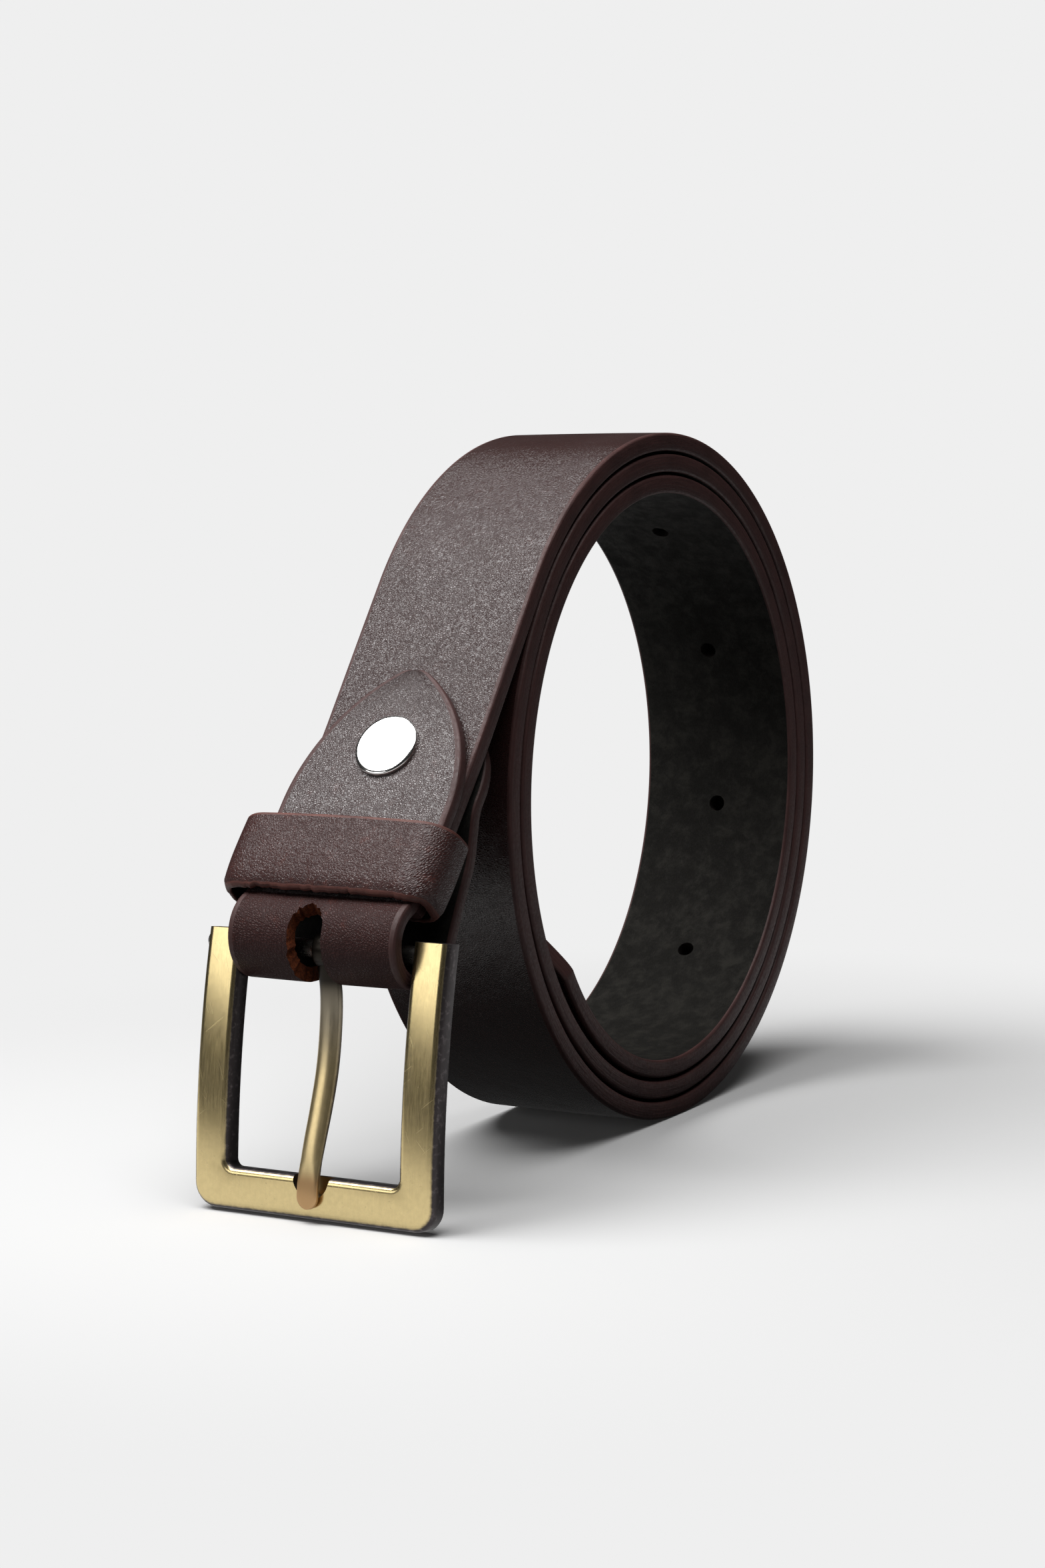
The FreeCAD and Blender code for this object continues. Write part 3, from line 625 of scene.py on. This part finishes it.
def raw_fibre(name, color, light):
    """Freshly cut fibre with no finish."""
    material, tree, shader = new_material(name, color, 0.95, specular=0.2)
    g = Graph(tree)
    tufts = g.noise(g.warp(g.own(IN_MM), 0.9, 1.4), 1.8, 6.0, 0.75)
    g.feed(g.mix(g.ramp(tufts, 0.35, 0.68), color, light), shader.inputs["Base Color"])
    g.feed(g.bump(tufts, 1.0, 0.0008), shader.inputs["Normal"])
    return material


def antique_metal(name, bright, dark, face_low=0.66, face_high=0.93, rough=0.0, tones_and_shade=()):
    """Brushed antique plating: bright where it faces the wearer's front, dark on its sides."""
    material, tree, shader = new_material(name, bright, 0.32, 1.0)
    g = Graph(tree)
    coordinates = g.node("ShaderNodeTexCoord").outputs
    place = g.own(IN_MM)
    grime = g.noise(place, 0.9, 5.0, 0.65)
    facing = g.vector_math("DOT_PRODUCT", coordinates["Normal"], FRONT_WAY).outputs["Value"]
    edge = g.math("ADD", facing, g.ramp(grime, 0.3, 0.7, -0.025, 0.025))
    face = g.ramp(edge, face_low, face_high)

    brushed = g.noise(g.own((5200, 1400, 260)), 1.0, 4.0, 0.6)
    scratches = 0.0
    for tilt in (0.75, -0.9, 0.35):
        slanted = g.turned(coordinates["Object"], (0, tilt, 0), (3800, 300, 110))
        line = g.ramp(g.noise(slanted, 1.0, 1.0, 0.5), 0.72, 0.79)
        scratches = g.math("ADD", scratches, line)
    pits = g.ramp(g.noise(place, 2.3, 2.0, 0.5), 0.72, 0.78)

    tone = g.mix(g.ramp(grime, 0.3, 0.72), shade(bright, 0.92), bright)
    tone = g.mix(g.math("MULTIPLY", scratches, 0.14), tone, shade(bright, 1.3))
    tone = g.mix(g.math("MULTIPLY", pits, 0.5), tone, shade(bright, 0.4))
    side = g.mix(g.ramp(grime, 0.5, 0.75), dark, shade(dark, 2.6))
    tone = g.mix(face, side, tone)
    height = g.node("ShaderNodeSeparateXYZ", Vector=coordinates["Object"]).outputs["Z"]
    # Colour bands by height; the top one is painted shade.
    for color, start, end in tones_and_shade:
        tone = g.mix(g.ramp(height, start, end), tone, color)
    polish = g.math("ADD", g.ramp(brushed, 0.25, 0.75, 0.2 + rough, 0.26 + rough),
                    g.math("MULTIPLY", scratches, 0.1))
    polish = g.math("ADD", polish, g.ramp(face, 0.0, 1.0, 0.2, 0.0))
    g.feed(tone, shader.inputs["Base Color"])
    g.feed(polish, shader.inputs["Roughness"])
    g.feed(g.bump(g.math("ADD", brushed, scratches), 0.02, 0.00003), shader.inputs["Normal"])
    return material


def polished_metal(name, color, roughness=0.08):
    """Polished steel with faint handling marks."""
    material, tree, shader = new_material(name, color, roughness, 1.0)
    g = Graph(tree)
    haze = g.noise(g.own(IN_MM), 0.7, 4.0, 0.6)
    hairlines = g.noise(g.own((300, 2400, 2400)), 1.0, 3.0, 0.5)
    g.feed(g.ramp(haze, 0.3, 0.7, roughness, roughness + 0.07), shader.inputs["Roughness"])
    g.feed(g.mix(g.ramp(haze, 0.4, 0.8), color, shade(color, 0.9)), shader.inputs["Base Color"])
    g.feed(g.bump(hairlines, 0.04, 0.00004), shader.inputs["Normal"])
    return material


lean = math.radians(FRAME_LEAN)
FRONT_WAY = Vector((0, -math.cos(lean), math.sin(lean)))

grain = grain_leather("strap_grain", GRAIN, GRAIN_LIGHT, 0.12, 0.56, calm_and_shade_from=CALM_AND_SHADE_FROM)
chape_grain = grain_leather("chape_grain", GRAIN, GRAIN_LIGHT, 0.3, 0.7)
# The fold's copies have less sheen, duller grain and darker edges: a painted shade under the keeper.
# Its grain is also more worn.
shaded_fold_grain = grain_leather("shaded_fold_grain", GRAIN, (0.034, 0.013, 0.012), 0.4, 0.12, 0.14)
keeper_grain = grain_leather("keeper_grain", (0.034, 0.0105, 0.0092), (0.043, 0.0145, 0.0128),
                             0.6, 0.36, 0.05)
edge_paint = painted_edge("edge_paint", (0.038, 0.014, 0.0128), (0.058, 0.024, 0.022))
shaded_fold_edge = painted_edge("shaded_fold_edge", (0.03, 0.0105, 0.0092), (0.046, 0.018, 0.016))
keeper_edge = painted_edge("keeper_edge", (0.06, 0.019, 0.015), (0.12, 0.04, 0.03))
flesh = flesh_leather("flesh_side", (0.0055, 0.005, 0.0041), (0.014, 0.0127, 0.0102))
fibre = raw_fibre("raw_fibre", (0.1, 0.022, 0.008), (0.34, 0.09, 0.028))
punched = raw_fibre("punched_wall", (0.008, 0.006, 0.005), (0.02, 0.012, 0.009))
frame_brass = antique_metal("antique_brass", BRASS, GUNMETAL)
prong_brass = antique_metal("prong_brass", PRONG_BRASS, PRONG_DARK, -0.2, 0.6, 0.12, PRONG_TONES_AND_SHADE)
post_steel = polished_metal("polished_steel", (0.86, 0.85, 0.83))
plain_steel = polished_metal("plain_steel", (0.45, 0.43, 0.4), 0.25)


# ---- leather pieces ----

def build_strap():
    """The strap: thinner at its ends, pointed at its tip, with punched holes."""
    path = strap_path()
    length = path[0][-1]
    tip_start = length - TIP_LENGTH
    half = BELT_WIDTH / 2

    def half_width(u):
        beyond = max(0.0, u - tip_start) / TIP_LENGTH
        return max(1.5, half * (1 - beyond ** 1.3))

    def thickness(u):
        ends = min(u, length - u)
        return STRAP_THICKNESS * (0.82 + 0.18 * min(1, ends / 1.2))

    stations = list(np.concatenate([np.linspace(0, 2, 5), np.arange(3.5, tip_start, 1.5),
                                    np.linspace(tip_start, length, 40)]))
    blank = flat_blank("strap_leather", stations, half_width, thickness, 0.6, 0.6, 0.3, 19,
                       [grain, edge_paint, flesh])
    cutters = []
    for index in range(HOLE_COUNT):
        hole = circle(length - TIP_TO_HOLE - index * HOLE_PITCH, HOLE_RADIUS)
        cutters.append(prism(f"hole_{index}", hole, *STRAP_CUT, punched))
    post_hole = circle(FREE_RUN - RIVET_RUN, POST_RADIUS)
    cutters.append(prism("post_hole", post_hole, *STRAP_CUT, punched))
    punch(blank, cutters)
    along = np.array([vertex.co.y for vertex in blank.data.vertices])
    bend(blank, path, drift=aside(FREE_RUN - along))
    smooth(blank)
    return blank


def build_chape():
    """The tab: a pointed front leg, a fold with the prong's torn slot, and a pared back leg."""
    path = chape_path()
    length = path[0][-1]
    half = CHAPE_WIDTH / 2
    wide = half + CHAPE_SPREAD
    # Two side arcs run into one small circle at the point, and touch it smoothly.
    reach = CHAPE_POINT - APEX_RADIUS
    radius = (reach ** 2 + wide ** 2 - APEX_RADIUS ** 2) / (2 * (wide - APEX_RADIUS))
    touch = CHAPE_POINT - reach * radius / (radius - APEX_RADIUS)

    def half_width(u):
        front = CHAPE_POINT - u
        back = u - (length - half)
        narrowing = np.clip((u - SPREAD_END) / SPREAD_FADE, 0, 1)
        width = wide - CHAPE_SPREAD * narrowing ** 2 * (3 - 2 * narrowing)
        if u < touch:
            width = math.sqrt(max(2 * APEX_RADIUS * u - u * u, 0))
        elif front > 0:
            width -= radius - math.sqrt(radius ** 2 - front ** 2)
        if back > 0:
            width = math.sqrt(max(half ** 2 - back ** 2, 0))
        return max(0.2, width)

    def thickness(u):
        back = np.clip((u - (length - CHAPE_SKIVE_RUN)) / CHAPE_SKIVE_RUN, 0, 1)
        return CHAPE_THICKNESS * (1 - CHAPE_SKIVE * back)

    front_rows = CHAPE_POINT * (1 - np.cos(np.linspace(0, math.pi / 2, 40)))
    even_rows = np.arange(CHAPE_POINT + 0.7, length - half, 0.7)
    back_rows = length - half * (1 - np.cos(np.linspace(0, math.pi / 2, 24)))[::-1]
    stations = list(np.concatenate([front_rows, even_rows, back_rows]))
    blank = flat_blank("chape_leather", stations, half_width, thickness, 0.6, 0.5, 0.65, 33,
                       [chape_grain, edge_paint, flesh, shaded_fold_grain, shaded_fold_edge])
    # From FOLD_START on, the grain and edges take their copies with painted shade.
    shaded_slots = {ON_GRAIN: ON_SHADED_FOLD, ON_EDGE: ON_SHADED_FOLD_EDGE}
    for face in blank.data.polygons:
        if face.center.y > FOLD_START:
            face.material_index = shaded_slots.get(face.material_index, face.material_index)
    for vertex in blank.data.vertices:
        if vertex.co.y < POINT_ROUNDING:
            inwards = POINT_ROUNDING - vertex.co.y
            drop = POINT_ROUNDING - math.sqrt(POINT_ROUNDING ** 2 - inwards ** 2)
            vertex.co.z -= drop * (1 + vertex.co.z / CHAPE_THICKNESS)

    slot_half = SLOT_WIDTH / 2
    top = SLOT_RUN - CHAPE_START + SLOT_LOWERED
    sides_from = top + 4.5
    bottom = top + SLOT_LENGTH
    ragged = np.random.default_rng(SLOT_SEED)
    arc = []
    for turn in np.linspace(0, math.pi, 22):
        torn = slot_half + 0.2 * ragged.normal() * math.sin(turn)
        arc.append((-SLOT_OFFSET + torn * math.cos(turn), top + slot_half - torn * math.sin(turn)))
    left = [(-SLOT_OFFSET - slot_half + 0.16 * ragged.normal(), y)
            for y in np.arange(sides_from, bottom, 0.8)]
    right = [(-SLOT_OFFSET + slot_half + 0.06 * ragged.normal(), y)
             for y in np.arange(bottom, sides_from, -0.8)]
    slot = prism("slot", arc + left + right, *CHAPE_CUT, fibre)
    post_hole = circle(RIVET_RUN - CHAPE_START, POST_RADIUS)
    punch(blank, [slot, prism("post_hole", post_hole, *CHAPE_CUT, punched)])
    # The blank's flesh side follows the path, so its grain stands one thickness out of it.
    bend(blank, path, surface=-CHAPE_THICKNESS)
    smooth(blank)
    return blank


def keeper_loop():
    """The inside of the keeper's loop: across the belt, and out from the strap's grain side."""
    half = KEEPER_INSIDE / 2
    back = -STRAP_THICKNESS - KEEPER_BACK_SLACK
    front = CHAPE_THICKNESS + KEEPER_FRONT_SLACK
    wide, deep, back_corner, crown, gap = 4.6, 3.4, 2.6, 0.45, KEEPER_GAP / 2

    def bow(x):
        return front + crown * (1 - (x / (half - wide)) ** 2)

    loop = [(x, back) for x in np.linspace(gap, half - back_corner, 24)]
    loop += arc_points(half - back_corner, back + back_corner, back_corner, -90, 0, 8)[1:]
    loop += [(half - wide + wide * math.cos(t), front - deep + deep * math.sin(t))
             for t in np.linspace(0, math.pi / 2, 12)]
    loop += [(x, bow(x)) for x in np.linspace(half - wide, wide - half, 50)[1:-1]]
    loop += [(wide - half + wide * math.cos(t), front - deep + deep * math.sin(t))
             for t in np.linspace(math.pi / 2, math.pi, 12)]
    loop += arc_points(back_corner - half, back + back_corner, back_corner, 180, 270, 8)
    loop += [(x, back) for x in np.linspace(back_corner - half, -gap, 24)[1:]]
    loop = np.array(loop)
    tangent = np.gradient(loop, axis=0)
    tangent /= np.linalg.norm(tangent, axis=1)[:, None]
    return with_distance(loop, np.stack([tangent[:, 1], -tangent[:, 0]], -1))


def build_keeper():
    """The keeper: its path runs round the strap and the tab, its band lies along the free run."""
    distance, places, outs = keeper_loop()
    length = distance[-1]
    half_band = KEEPER_BAND / 2
    painted, crushed, sagging = 1.2, 1.8, 8.0  # widths of the band, from its lower edge up
    stations = list(np.arange(0, length, 0.5)) + [length]
    blank = flat_blank("keeper_leather", stations, lambda u: half_band, lambda u: KEEPER_THICKNESS,
                       0.45, 0.3, 0.2, 13, [keeper_grain, keeper_edge, flesh])
    mesh = blank.data
    for face in mesh.polygons:
        if face.material_index == ON_GRAIN and face.center.x > half_band - painted:
            face.material_index = ON_EDGE
    rough = np.random.default_rng(KEEPER_SEED)
    knots = rough.normal(size=int(length) * 2 + 4)
    knot_places = np.arange(len(knots))
    for vertex in mesh.vertices:
        across, along, height = vertex.co
        place = [np.interp(along, distance, places[:, i]) for i in range(2)]
        out = np.array([np.interp(along, distance, outs[:, i]) for i in range(2)])
        out /= np.linalg.norm(out)
        # The lower edge is a rough cut: it wavers and its corner is crushed.
        lower = max(0.0, (across - half_band + crushed) / crushed)
        fall = max(0.0, (across - half_band + sagging) / sagging)
        lift = (height + KEEPER_THICKNESS) * (1 - 0.36 * lower ** 2 - 0.2 * fall ** 2)
        waver = np.interp(along * 1.9, knot_places, knots) * 0.1 * lower
        waver += np.interp(along * 0.35, knot_places, knots) * 0.2 * lower
        run = KEEPER_RUN + half_band + across + waver
        x = place[0] + out[0] * lift - KEEPER_ASIDE + aside(run)
        yz = on_run(run, place[1] + out[1] * lift)
        vertex.co = (x * MM, yz[0] * MM, yz[1] * MM)
    normals_out(mesh)
    smooth(blank, 40)
    return blank


# ---- metal pieces; those of the buckle are made about the heel bar and hung in their place ----

bar_low, bar_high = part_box("bar_pin")
BAR_Y = (bar_low.y + bar_high.y) / 2 / MM
BAR_Z = (bar_low.z + bar_high.z) / 2 / MM
FRAME_DROP = (BAR_Z - FRAME_THICKNESS / 2 * math.sin(lean) - 0.05) / math.cos(lean)


def hang(mesh):
    """Millimetres about the heel bar become metres in the leaning, hanging place."""
    bar = Matrix.Translation((-DRIFT * MM, BAR_Y * MM, BAR_Z * MM))
    mesh.transform(bar @ Matrix.Rotation(-lean, 4, "X") @ Matrix.Scale(MM, 4))


def bow_forward(z):
    """How far the frame stands forward of its ends, at a height below the bar."""
    middle = (LEG_ABOVE_BAR - FRAME_DROP) / 2
    reach = (LEG_ABOVE_BAR + FRAME_DROP) / 2 + 1.0
    return FRAME_BOW * (1 - ((z - middle) / reach) ** 2)


def build_frame():
    """The buckle's frame: two legs and a crossbar with a notch, bowed forward as a whole."""
    half = FRAME_WIDTH / 2
    window = WINDOW_WIDTH / 2
    back = FRAME_THICKNESS / 2
    bottom = -FRAME_DROP
    sill = bottom + CROSSBAR
    corner_z = bottom + FRAME_CORNER
    inner_z = sill + WINDOW_CORNER
    outline = [(-half, LEG_ABOVE_BAR)]
    outline += arc_points(FRAME_CORNER - half, corner_z, FRAME_CORNER, 180, 270)
    outline += arc_points(half - FRAME_CORNER, corner_z, FRAME_CORNER, 270, 360)
    outline += [(half, LEG_ABOVE_BAR), (window, LEG_ABOVE_BAR)]
    outline += arc_points(window - WINDOW_CORNER, inner_z, WINDOW_CORNER, 0, -90, 6)
    outline += arc_points(WINDOW_CORNER - window, inner_z, WINDOW_CORNER, 270, 180, 6)
    outline += [(-window, LEG_ABOVE_BAR)]
    work = extruded([(x, -back, z) for x, z in outline], (0, FRAME_THICKNESS, 0))
    front_edges = [e for e in work.edges if all(v.co.y < 0 for v in e.verts)
                   and not all(v.co.z > LEG_ABOVE_BAR - 0.01 for v in e.verts)]
    bmesh.ops.bevel(work, geom=front_edges, offset=1.45, segments=7, profile=0.5, affect="EDGES")
    back_edges = [e for e in work.edges if all(v.co.y > back - 0.01 for v in e.verts)
                  and len(e.link_faces) == 2 and e.calc_face_angle() > 0.5]
    bmesh.ops.bevel(work, geom=back_edges, offset=0.35, segments=2, profile=0.5, affect="EDGES")
    obj = object_from("frame_metal", work, frame_brass)

    # The prong's notch, a pocket with a round bottom, open towards the window.
    ahead = 8.0
    pocket = arc_points(0, sill - 0.2, NOTCH_RADIUS, 180, 360, 20)
    pocket += [(NOTCH_RADIUS, sill + 3), (-NOTCH_RADIUS, sill + 3)]
    notch = extruded([(x, -ahead, z) for x, z in pocket], (0, ahead - back + NOTCH_DEPTH, 0))
    punch(obj, [object_from("notch", notch, frame_brass)])

    # Rows across the legs, so that the bow bends them smoothly.
    mesh = obj.data
    work = bmesh.new()
    work.from_mesh(mesh)
    for z in np.arange(bottom + 9, LEG_ABOVE_BAR - 1, 1.5):
        everything = work.verts[:] + work.edges[:] + work.faces[:]
        bmesh.ops.bisect_plane(work, geom=everything, plane_co=(0, 0, z), plane_no=(0, 0, 1))
    for vertex in work.verts:
        vertex.co.y -= bow_forward(vertex.co.z)
    work.to_mesh(mesh)
    work.free()
    hang(mesh)
    smooth(obj, 30)
    return obj


def build_prong():
    """An eye round the heel bar and a shank that swells forward over the crossbar."""
    length = FRAME_DROP - 2.0
    half = PRONG_WIDTH / 2
    end_round = 2.4
    heights = np.array([1.0, -2.0, -8.0, -15.0, -22.0, -29.0, -35.0, -40.0, -43.5, -length])
    fronts = np.array([-2.6, -2.2, -0.7, -0.3, -0.7, -2.0, -3.3, -3.9, -4.0, -3.75])
    depths = np.array([2.6, 2.8, 3.0, 3.1, 3.1, 3.0, 2.6, 1.7, 1.15, 0.95])
    end_turns = np.linspace(0, math.pi / 2, 12)
    rows = np.concatenate([np.linspace(heights[0], end_round - length, 90),
                           end_round * (1 - np.sin(end_turns))[1:] - length])
    order = np.argsort(heights)
    front = smooth_curve(rows, heights[order], fronts[order])
    depth = smooth_curve(rows, heights[order], depths[order])
    count = 28
    verts = []
    for z, y, d in zip(rows, front, depth):
        ends = z + length
        w = half if ends > half else math.sqrt(max(half ** 2 - (half - ends) ** 2, 0.02))
        # Round near the bar, and flatter from here down to the end.
        power = 0.9 - 0.45 * np.clip((z + 38) / -4, 0, 1)
        for turn in np.linspace(0, 2 * math.pi, count, endpoint=False):
            c, s = math.cos(turn), math.sin(turn)
            x = w * math.copysign(abs(c) ** power, c)
            v = d / 2 * math.copysign(abs(s) ** power, s)
            verts.append((x, y + d / 2 - v, z))
    faces = grid_faces(len(rows), count, closed_columns=True)
    faces.append(tuple(range(count)))
    faces.append(tuple(range((len(rows) - 1) * count, len(rows) * count))[::-1])

    # The eye: a ring with rounded rims, turned about the bar.
    rim = 0.5
    inset = 0.3
    ring = [(-half, EYE_BORE + inset), (-half, EYE_RADIUS - rim),
            (-half + rim * 0.3, EYE_RADIUS - rim * 0.3), (-half + rim, EYE_RADIUS),
            (half - rim, EYE_RADIUS), (half - rim * 0.3, EYE_RADIUS - rim * 0.3),
            (half, EYE_RADIUS - rim), (half, EYE_BORE + inset),
            (half - inset, EYE_BORE), (-half + inset, EYE_BORE)]
    turns = 48
    faces += grid_faces(turns, len(ring), closed_rows=True, closed_columns=True, first=len(verts))
    for turn in np.linspace(0, 2 * math.pi, turns, endpoint=False):
        verts += [(x, r * math.cos(turn), r * math.sin(turn)) for x, r in ring]
    mesh = bpy.data.meshes.new("prong_metal")
    mesh.from_pydata(verts, [], faces)
    mesh.materials.append(prong_brass)
    normals_out(mesh)
    hang(mesh)
    obj = placed("prong_metal", mesh)
    smooth(obj, 40)
    return obj


def build_bar():
    """The heel bar: a plain pin whose rounded end stands a little out of the left leg."""
    left = -FRAME_WIDTH / 2 - 0.35
    right = FRAME_WIDTH / 2 - 2.1
    profile = [(left, NEAR_AXIS), (left, 1.2), (left + 0.12, 1.5), (left + 0.4, 1.72),
               (left + 0.8, BAR_RADIUS), (right, BAR_RADIUS), (right, NEAR_AXIS)]
    turns = 40
    verts = [(x, r * math.cos(t), r * math.sin(t))
             for t in np.linspace(0, 2 * math.pi, turns, endpoint=False) for x, r in profile]
    mesh = bpy.data.meshes.new("bar_metal")
    mesh.from_pydata(verts, [], grid_faces(turns, len(profile), closed_rows=True))
    mesh.materials.append(plain_steel)
    normals_out(mesh, weld=0.005)
    hang(mesh)
    obj = placed("bar_metal", mesh)
    smooth(obj, 40)
    return obj


def build_post():
    """The post's polished head, slightly domed, with a rolled rim, and its barrel."""
    # Half outline: distance from the axis, and height above the tab.
    profile = [(NEAR_AXIS, 1.1), (2.0, 1.09), (4.0, 1.06), (5.7, 1.0), (6.1, 0.94), (6.3, 0.8),
               (6.4, 0.6), (6.4, 0.12), (6.32, 0.0), (POST_RADIUS, -0.02),
               (POST_RADIUS, -STRAP_THICKNESS - 4.9), (1.8, -STRAP_THICKNESS - 4.9),
               (NEAR_AXIS, -STRAP_THICKNESS - 4.5)]
    turns = 72
    out = Vector((0, OUT[0], OUT[1]))
    across = Vector((1, 0, 0))
    up_run = Vector((0, -DOWN[0], -DOWN[1]))
    middle = Vector((0, *on_run(RIVET_RUN, CHAPE_THICKNESS)))
    verts = []
    for i in range(turns):
        turn = 2 * math.pi * i / turns
        spoke = across * math.cos(turn) + up_run * math.sin(turn)
        verts += [(middle + spoke * r + out * h) * MM for r, h in profile]
    mesh = bpy.data.meshes.new("post_metal")
    mesh.from_pydata(verts, [], grid_faces(turns, len(profile), closed_rows=True))
    mesh.materials.append(post_steel)
    normals_out(mesh, weld=0.01 * MM)
    obj = placed("post_metal", mesh)
    smooth(obj, 50)
    return obj


PIECES = ((build_strap(), "belt", "strap", "strap_leather"),
          (build_chape(), "belt", "chape", "chape_leather"),
          (build_keeper(), "keeper", "keeper_loop", "keeper_leather"),
          (build_frame(), "buckle", "buckle_frame", "frame_metal"),
          (build_prong(), "prong", "prong", "prong_metal"),
          (build_post(), "belt", "screw_post", "post_metal"),
          (build_bar(), "buckle", "bar_pin", "bar_metal"))
for piece, body, node, slot in PIECES:
    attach(piece, body)
    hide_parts(node)
for node in ("screw", "keeper_staple"):
    for material_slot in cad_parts[node].material_slots:
        material_slot.material = plain_steel


# ---- floor, light and camera; lengths are in metres ----

BACKDROP = 0.863
SURROUND = 0.03
FLOOR_HALF = 30.0
FLOOR_GLOW = 0.01
FLOOR_TONE = 0.462
EVEN_FROM, EVEN_TO = 0.1, 0.22       # from the origin, where the lit floor turns into the backdrop
SHADE_FROM, SHADE_TO = 0.068, 0.098  # where the belt's own shade on the floor ends
TABLE_FROM, TABLE_TO = 0.22, 0.42    # where the table that the belt sees ends
LIGHT_TARGET = Vector((0, -0.02, 0.07))
CAMERA_AZIMUTH = 30.84
CAMERA_ELEVATION = 6.83
CAMERA_ROLL = -1.39
CAMERA_TARGET = (0, -9.36 * MM, 71.3 * MM)
CAMERA_DISTANCE = 0.6439
SENSOR_WIDTH = 36.0
FOCAL_LENGTH = 112.1


def build_floor():
    """A pale floor that evens out to the backdrop's tone away from the belt."""
    mesh = bpy.data.meshes.new("floor")
    corners = [(x * FLOOR_HALF, y * FLOOR_HALF, 0) for x, y in ((-1, -1), (1, -1), (1, 1), (-1, 1))]
    mesh.from_pydata(corners, [], [(0, 1, 2, 3)])
    material, tree, shader = new_material("pale_floor", (FLOOR_TONE,) * 3, 0.9, specular=0.0)
    shader.inputs["Emission Color"].default_value = (1, 1, 1, 1)
    shader.inputs["Emission Strength"].default_value = FLOOR_GLOW
    g = Graph(tree)
    distance = g.vector_math("LENGTH", g.own((1, 1, 0))).outputs["Value"]
    even = g.node("ShaderNodeEmission", Strength=BACKDROP)
    lit = g.node("ShaderNodeMixShader", Fac=g.ramp(distance, EVEN_FROM, EVEN_TO))
    tree.links.new(shader.outputs[0], lit.inputs[1])
    tree.links.new(even.outputs[0], lit.inputs[2])
    # For all but camera rays the floor glows, as painted light: the belt sees its own painted shade
    # under it, a table that ends soon, and a dim part of its light.
    seen = g.node("ShaderNodeLightPath").outputs
    table_and_shade = g.math("MULTIPLY", g.ramp(distance, SHADE_FROM, SHADE_TO, 0.06, 1.0),
                   g.ramp(distance, TABLE_FROM, TABLE_TO, 0.95, 0.02))
    glow = g.math("MULTIPLY", table_and_shade, g.ramp(seen["Is Diffuse Ray"], 0.0, 1.0, 1.0, 0.15))
    bounced = g.node("ShaderNodeEmission", Strength=glow)
    mixer = g.node("ShaderNodeMixShader", Fac=seen["Is Camera Ray"])
    tree.links.new(bounced.outputs[0], mixer.inputs[1])
    tree.links.new(lit.outputs[0], mixer.inputs[2])
    tree.links.new(mixer.outputs[0], tree.nodes["Material Output"].inputs["Surface"])
    material.cycles.emission_sampling = "NONE"
    mesh.materials.append(material)
    floor = placed("floor", mesh)


def build_world():
    """Even backdrop for the camera, dim surroundings for reflections."""
    world = bpy.data.worlds.new("studio")
    bpy.context.scene.world = world
    world.use_nodes = True
    g = Graph(world.node_tree)
    seen = g.node("ShaderNodeLightPath").outputs["Is Camera Ray"]
    tone = g.mix(seen, (SURROUND,) * 3, (BACKDROP,) * 3)
    g.feed(tone, world.node_tree.nodes["Background"].inputs["Color"])


def area_light(name, place, width, height, power):
    """A soft rectangular light that faces the belt."""
    light = bpy.data.lights.new(name, "AREA")
    light.shape = "RECTANGLE"
    light.size = width
    light.size_y = height
    light.energy = power
    obj = placed(name, light)
    obj.location = place
    aim = LIGHT_TARGET - Vector(place)
    obj.rotation_euler = aim.to_track_quat("-Z", "Y").to_euler()


def build_camera():
    """The photograph's point of view: low, from the front and a little to the right."""
    azimuth = math.radians(CAMERA_AZIMUTH)
    elevation = math.radians(CAMERA_ELEVATION)
    roll = math.radians(CAMERA_ROLL)
    back = Vector((math.sin(azimuth) * math.cos(elevation),
                   -math.cos(azimuth) * math.cos(elevation), math.sin(elevation)))
    right = Vector((math.cos(azimuth), math.sin(azimuth), 0))
    up = back.cross(right)
    turned = right * math.cos(roll) + up * math.sin(roll)
    lifted = up * math.cos(roll) - right * math.sin(roll)
    place = Vector(CAMERA_TARGET) + back * CAMERA_DISTANCE
    data = bpy.data.cameras.new("camera")
    data.sensor_fit = "HORIZONTAL"
    data.sensor_width = SENSOR_WIDTH
    data.lens = FOCAL_LENGTH
    camera = placed("camera", data)
    turn = Matrix((turned, lifted, back)).transposed()
    camera.matrix_world = Matrix.Translation(place) @ turn.to_4x4()
    bpy.context.scene.camera = camera


build_floor()
build_world()
area_light("key", (-0.31, -0.30, 0.80), 0.56, 0.56, 10.5)
area_light("top", (0.12, -0.17, 0.9), 0.6, 0.6, 8)
area_light("low_card", (-0.36, -0.60, 0.25), 0.4, 0.2, 0.55)
build_camera()
bpy.context.scene.view_settings.view_transform = "Standard"
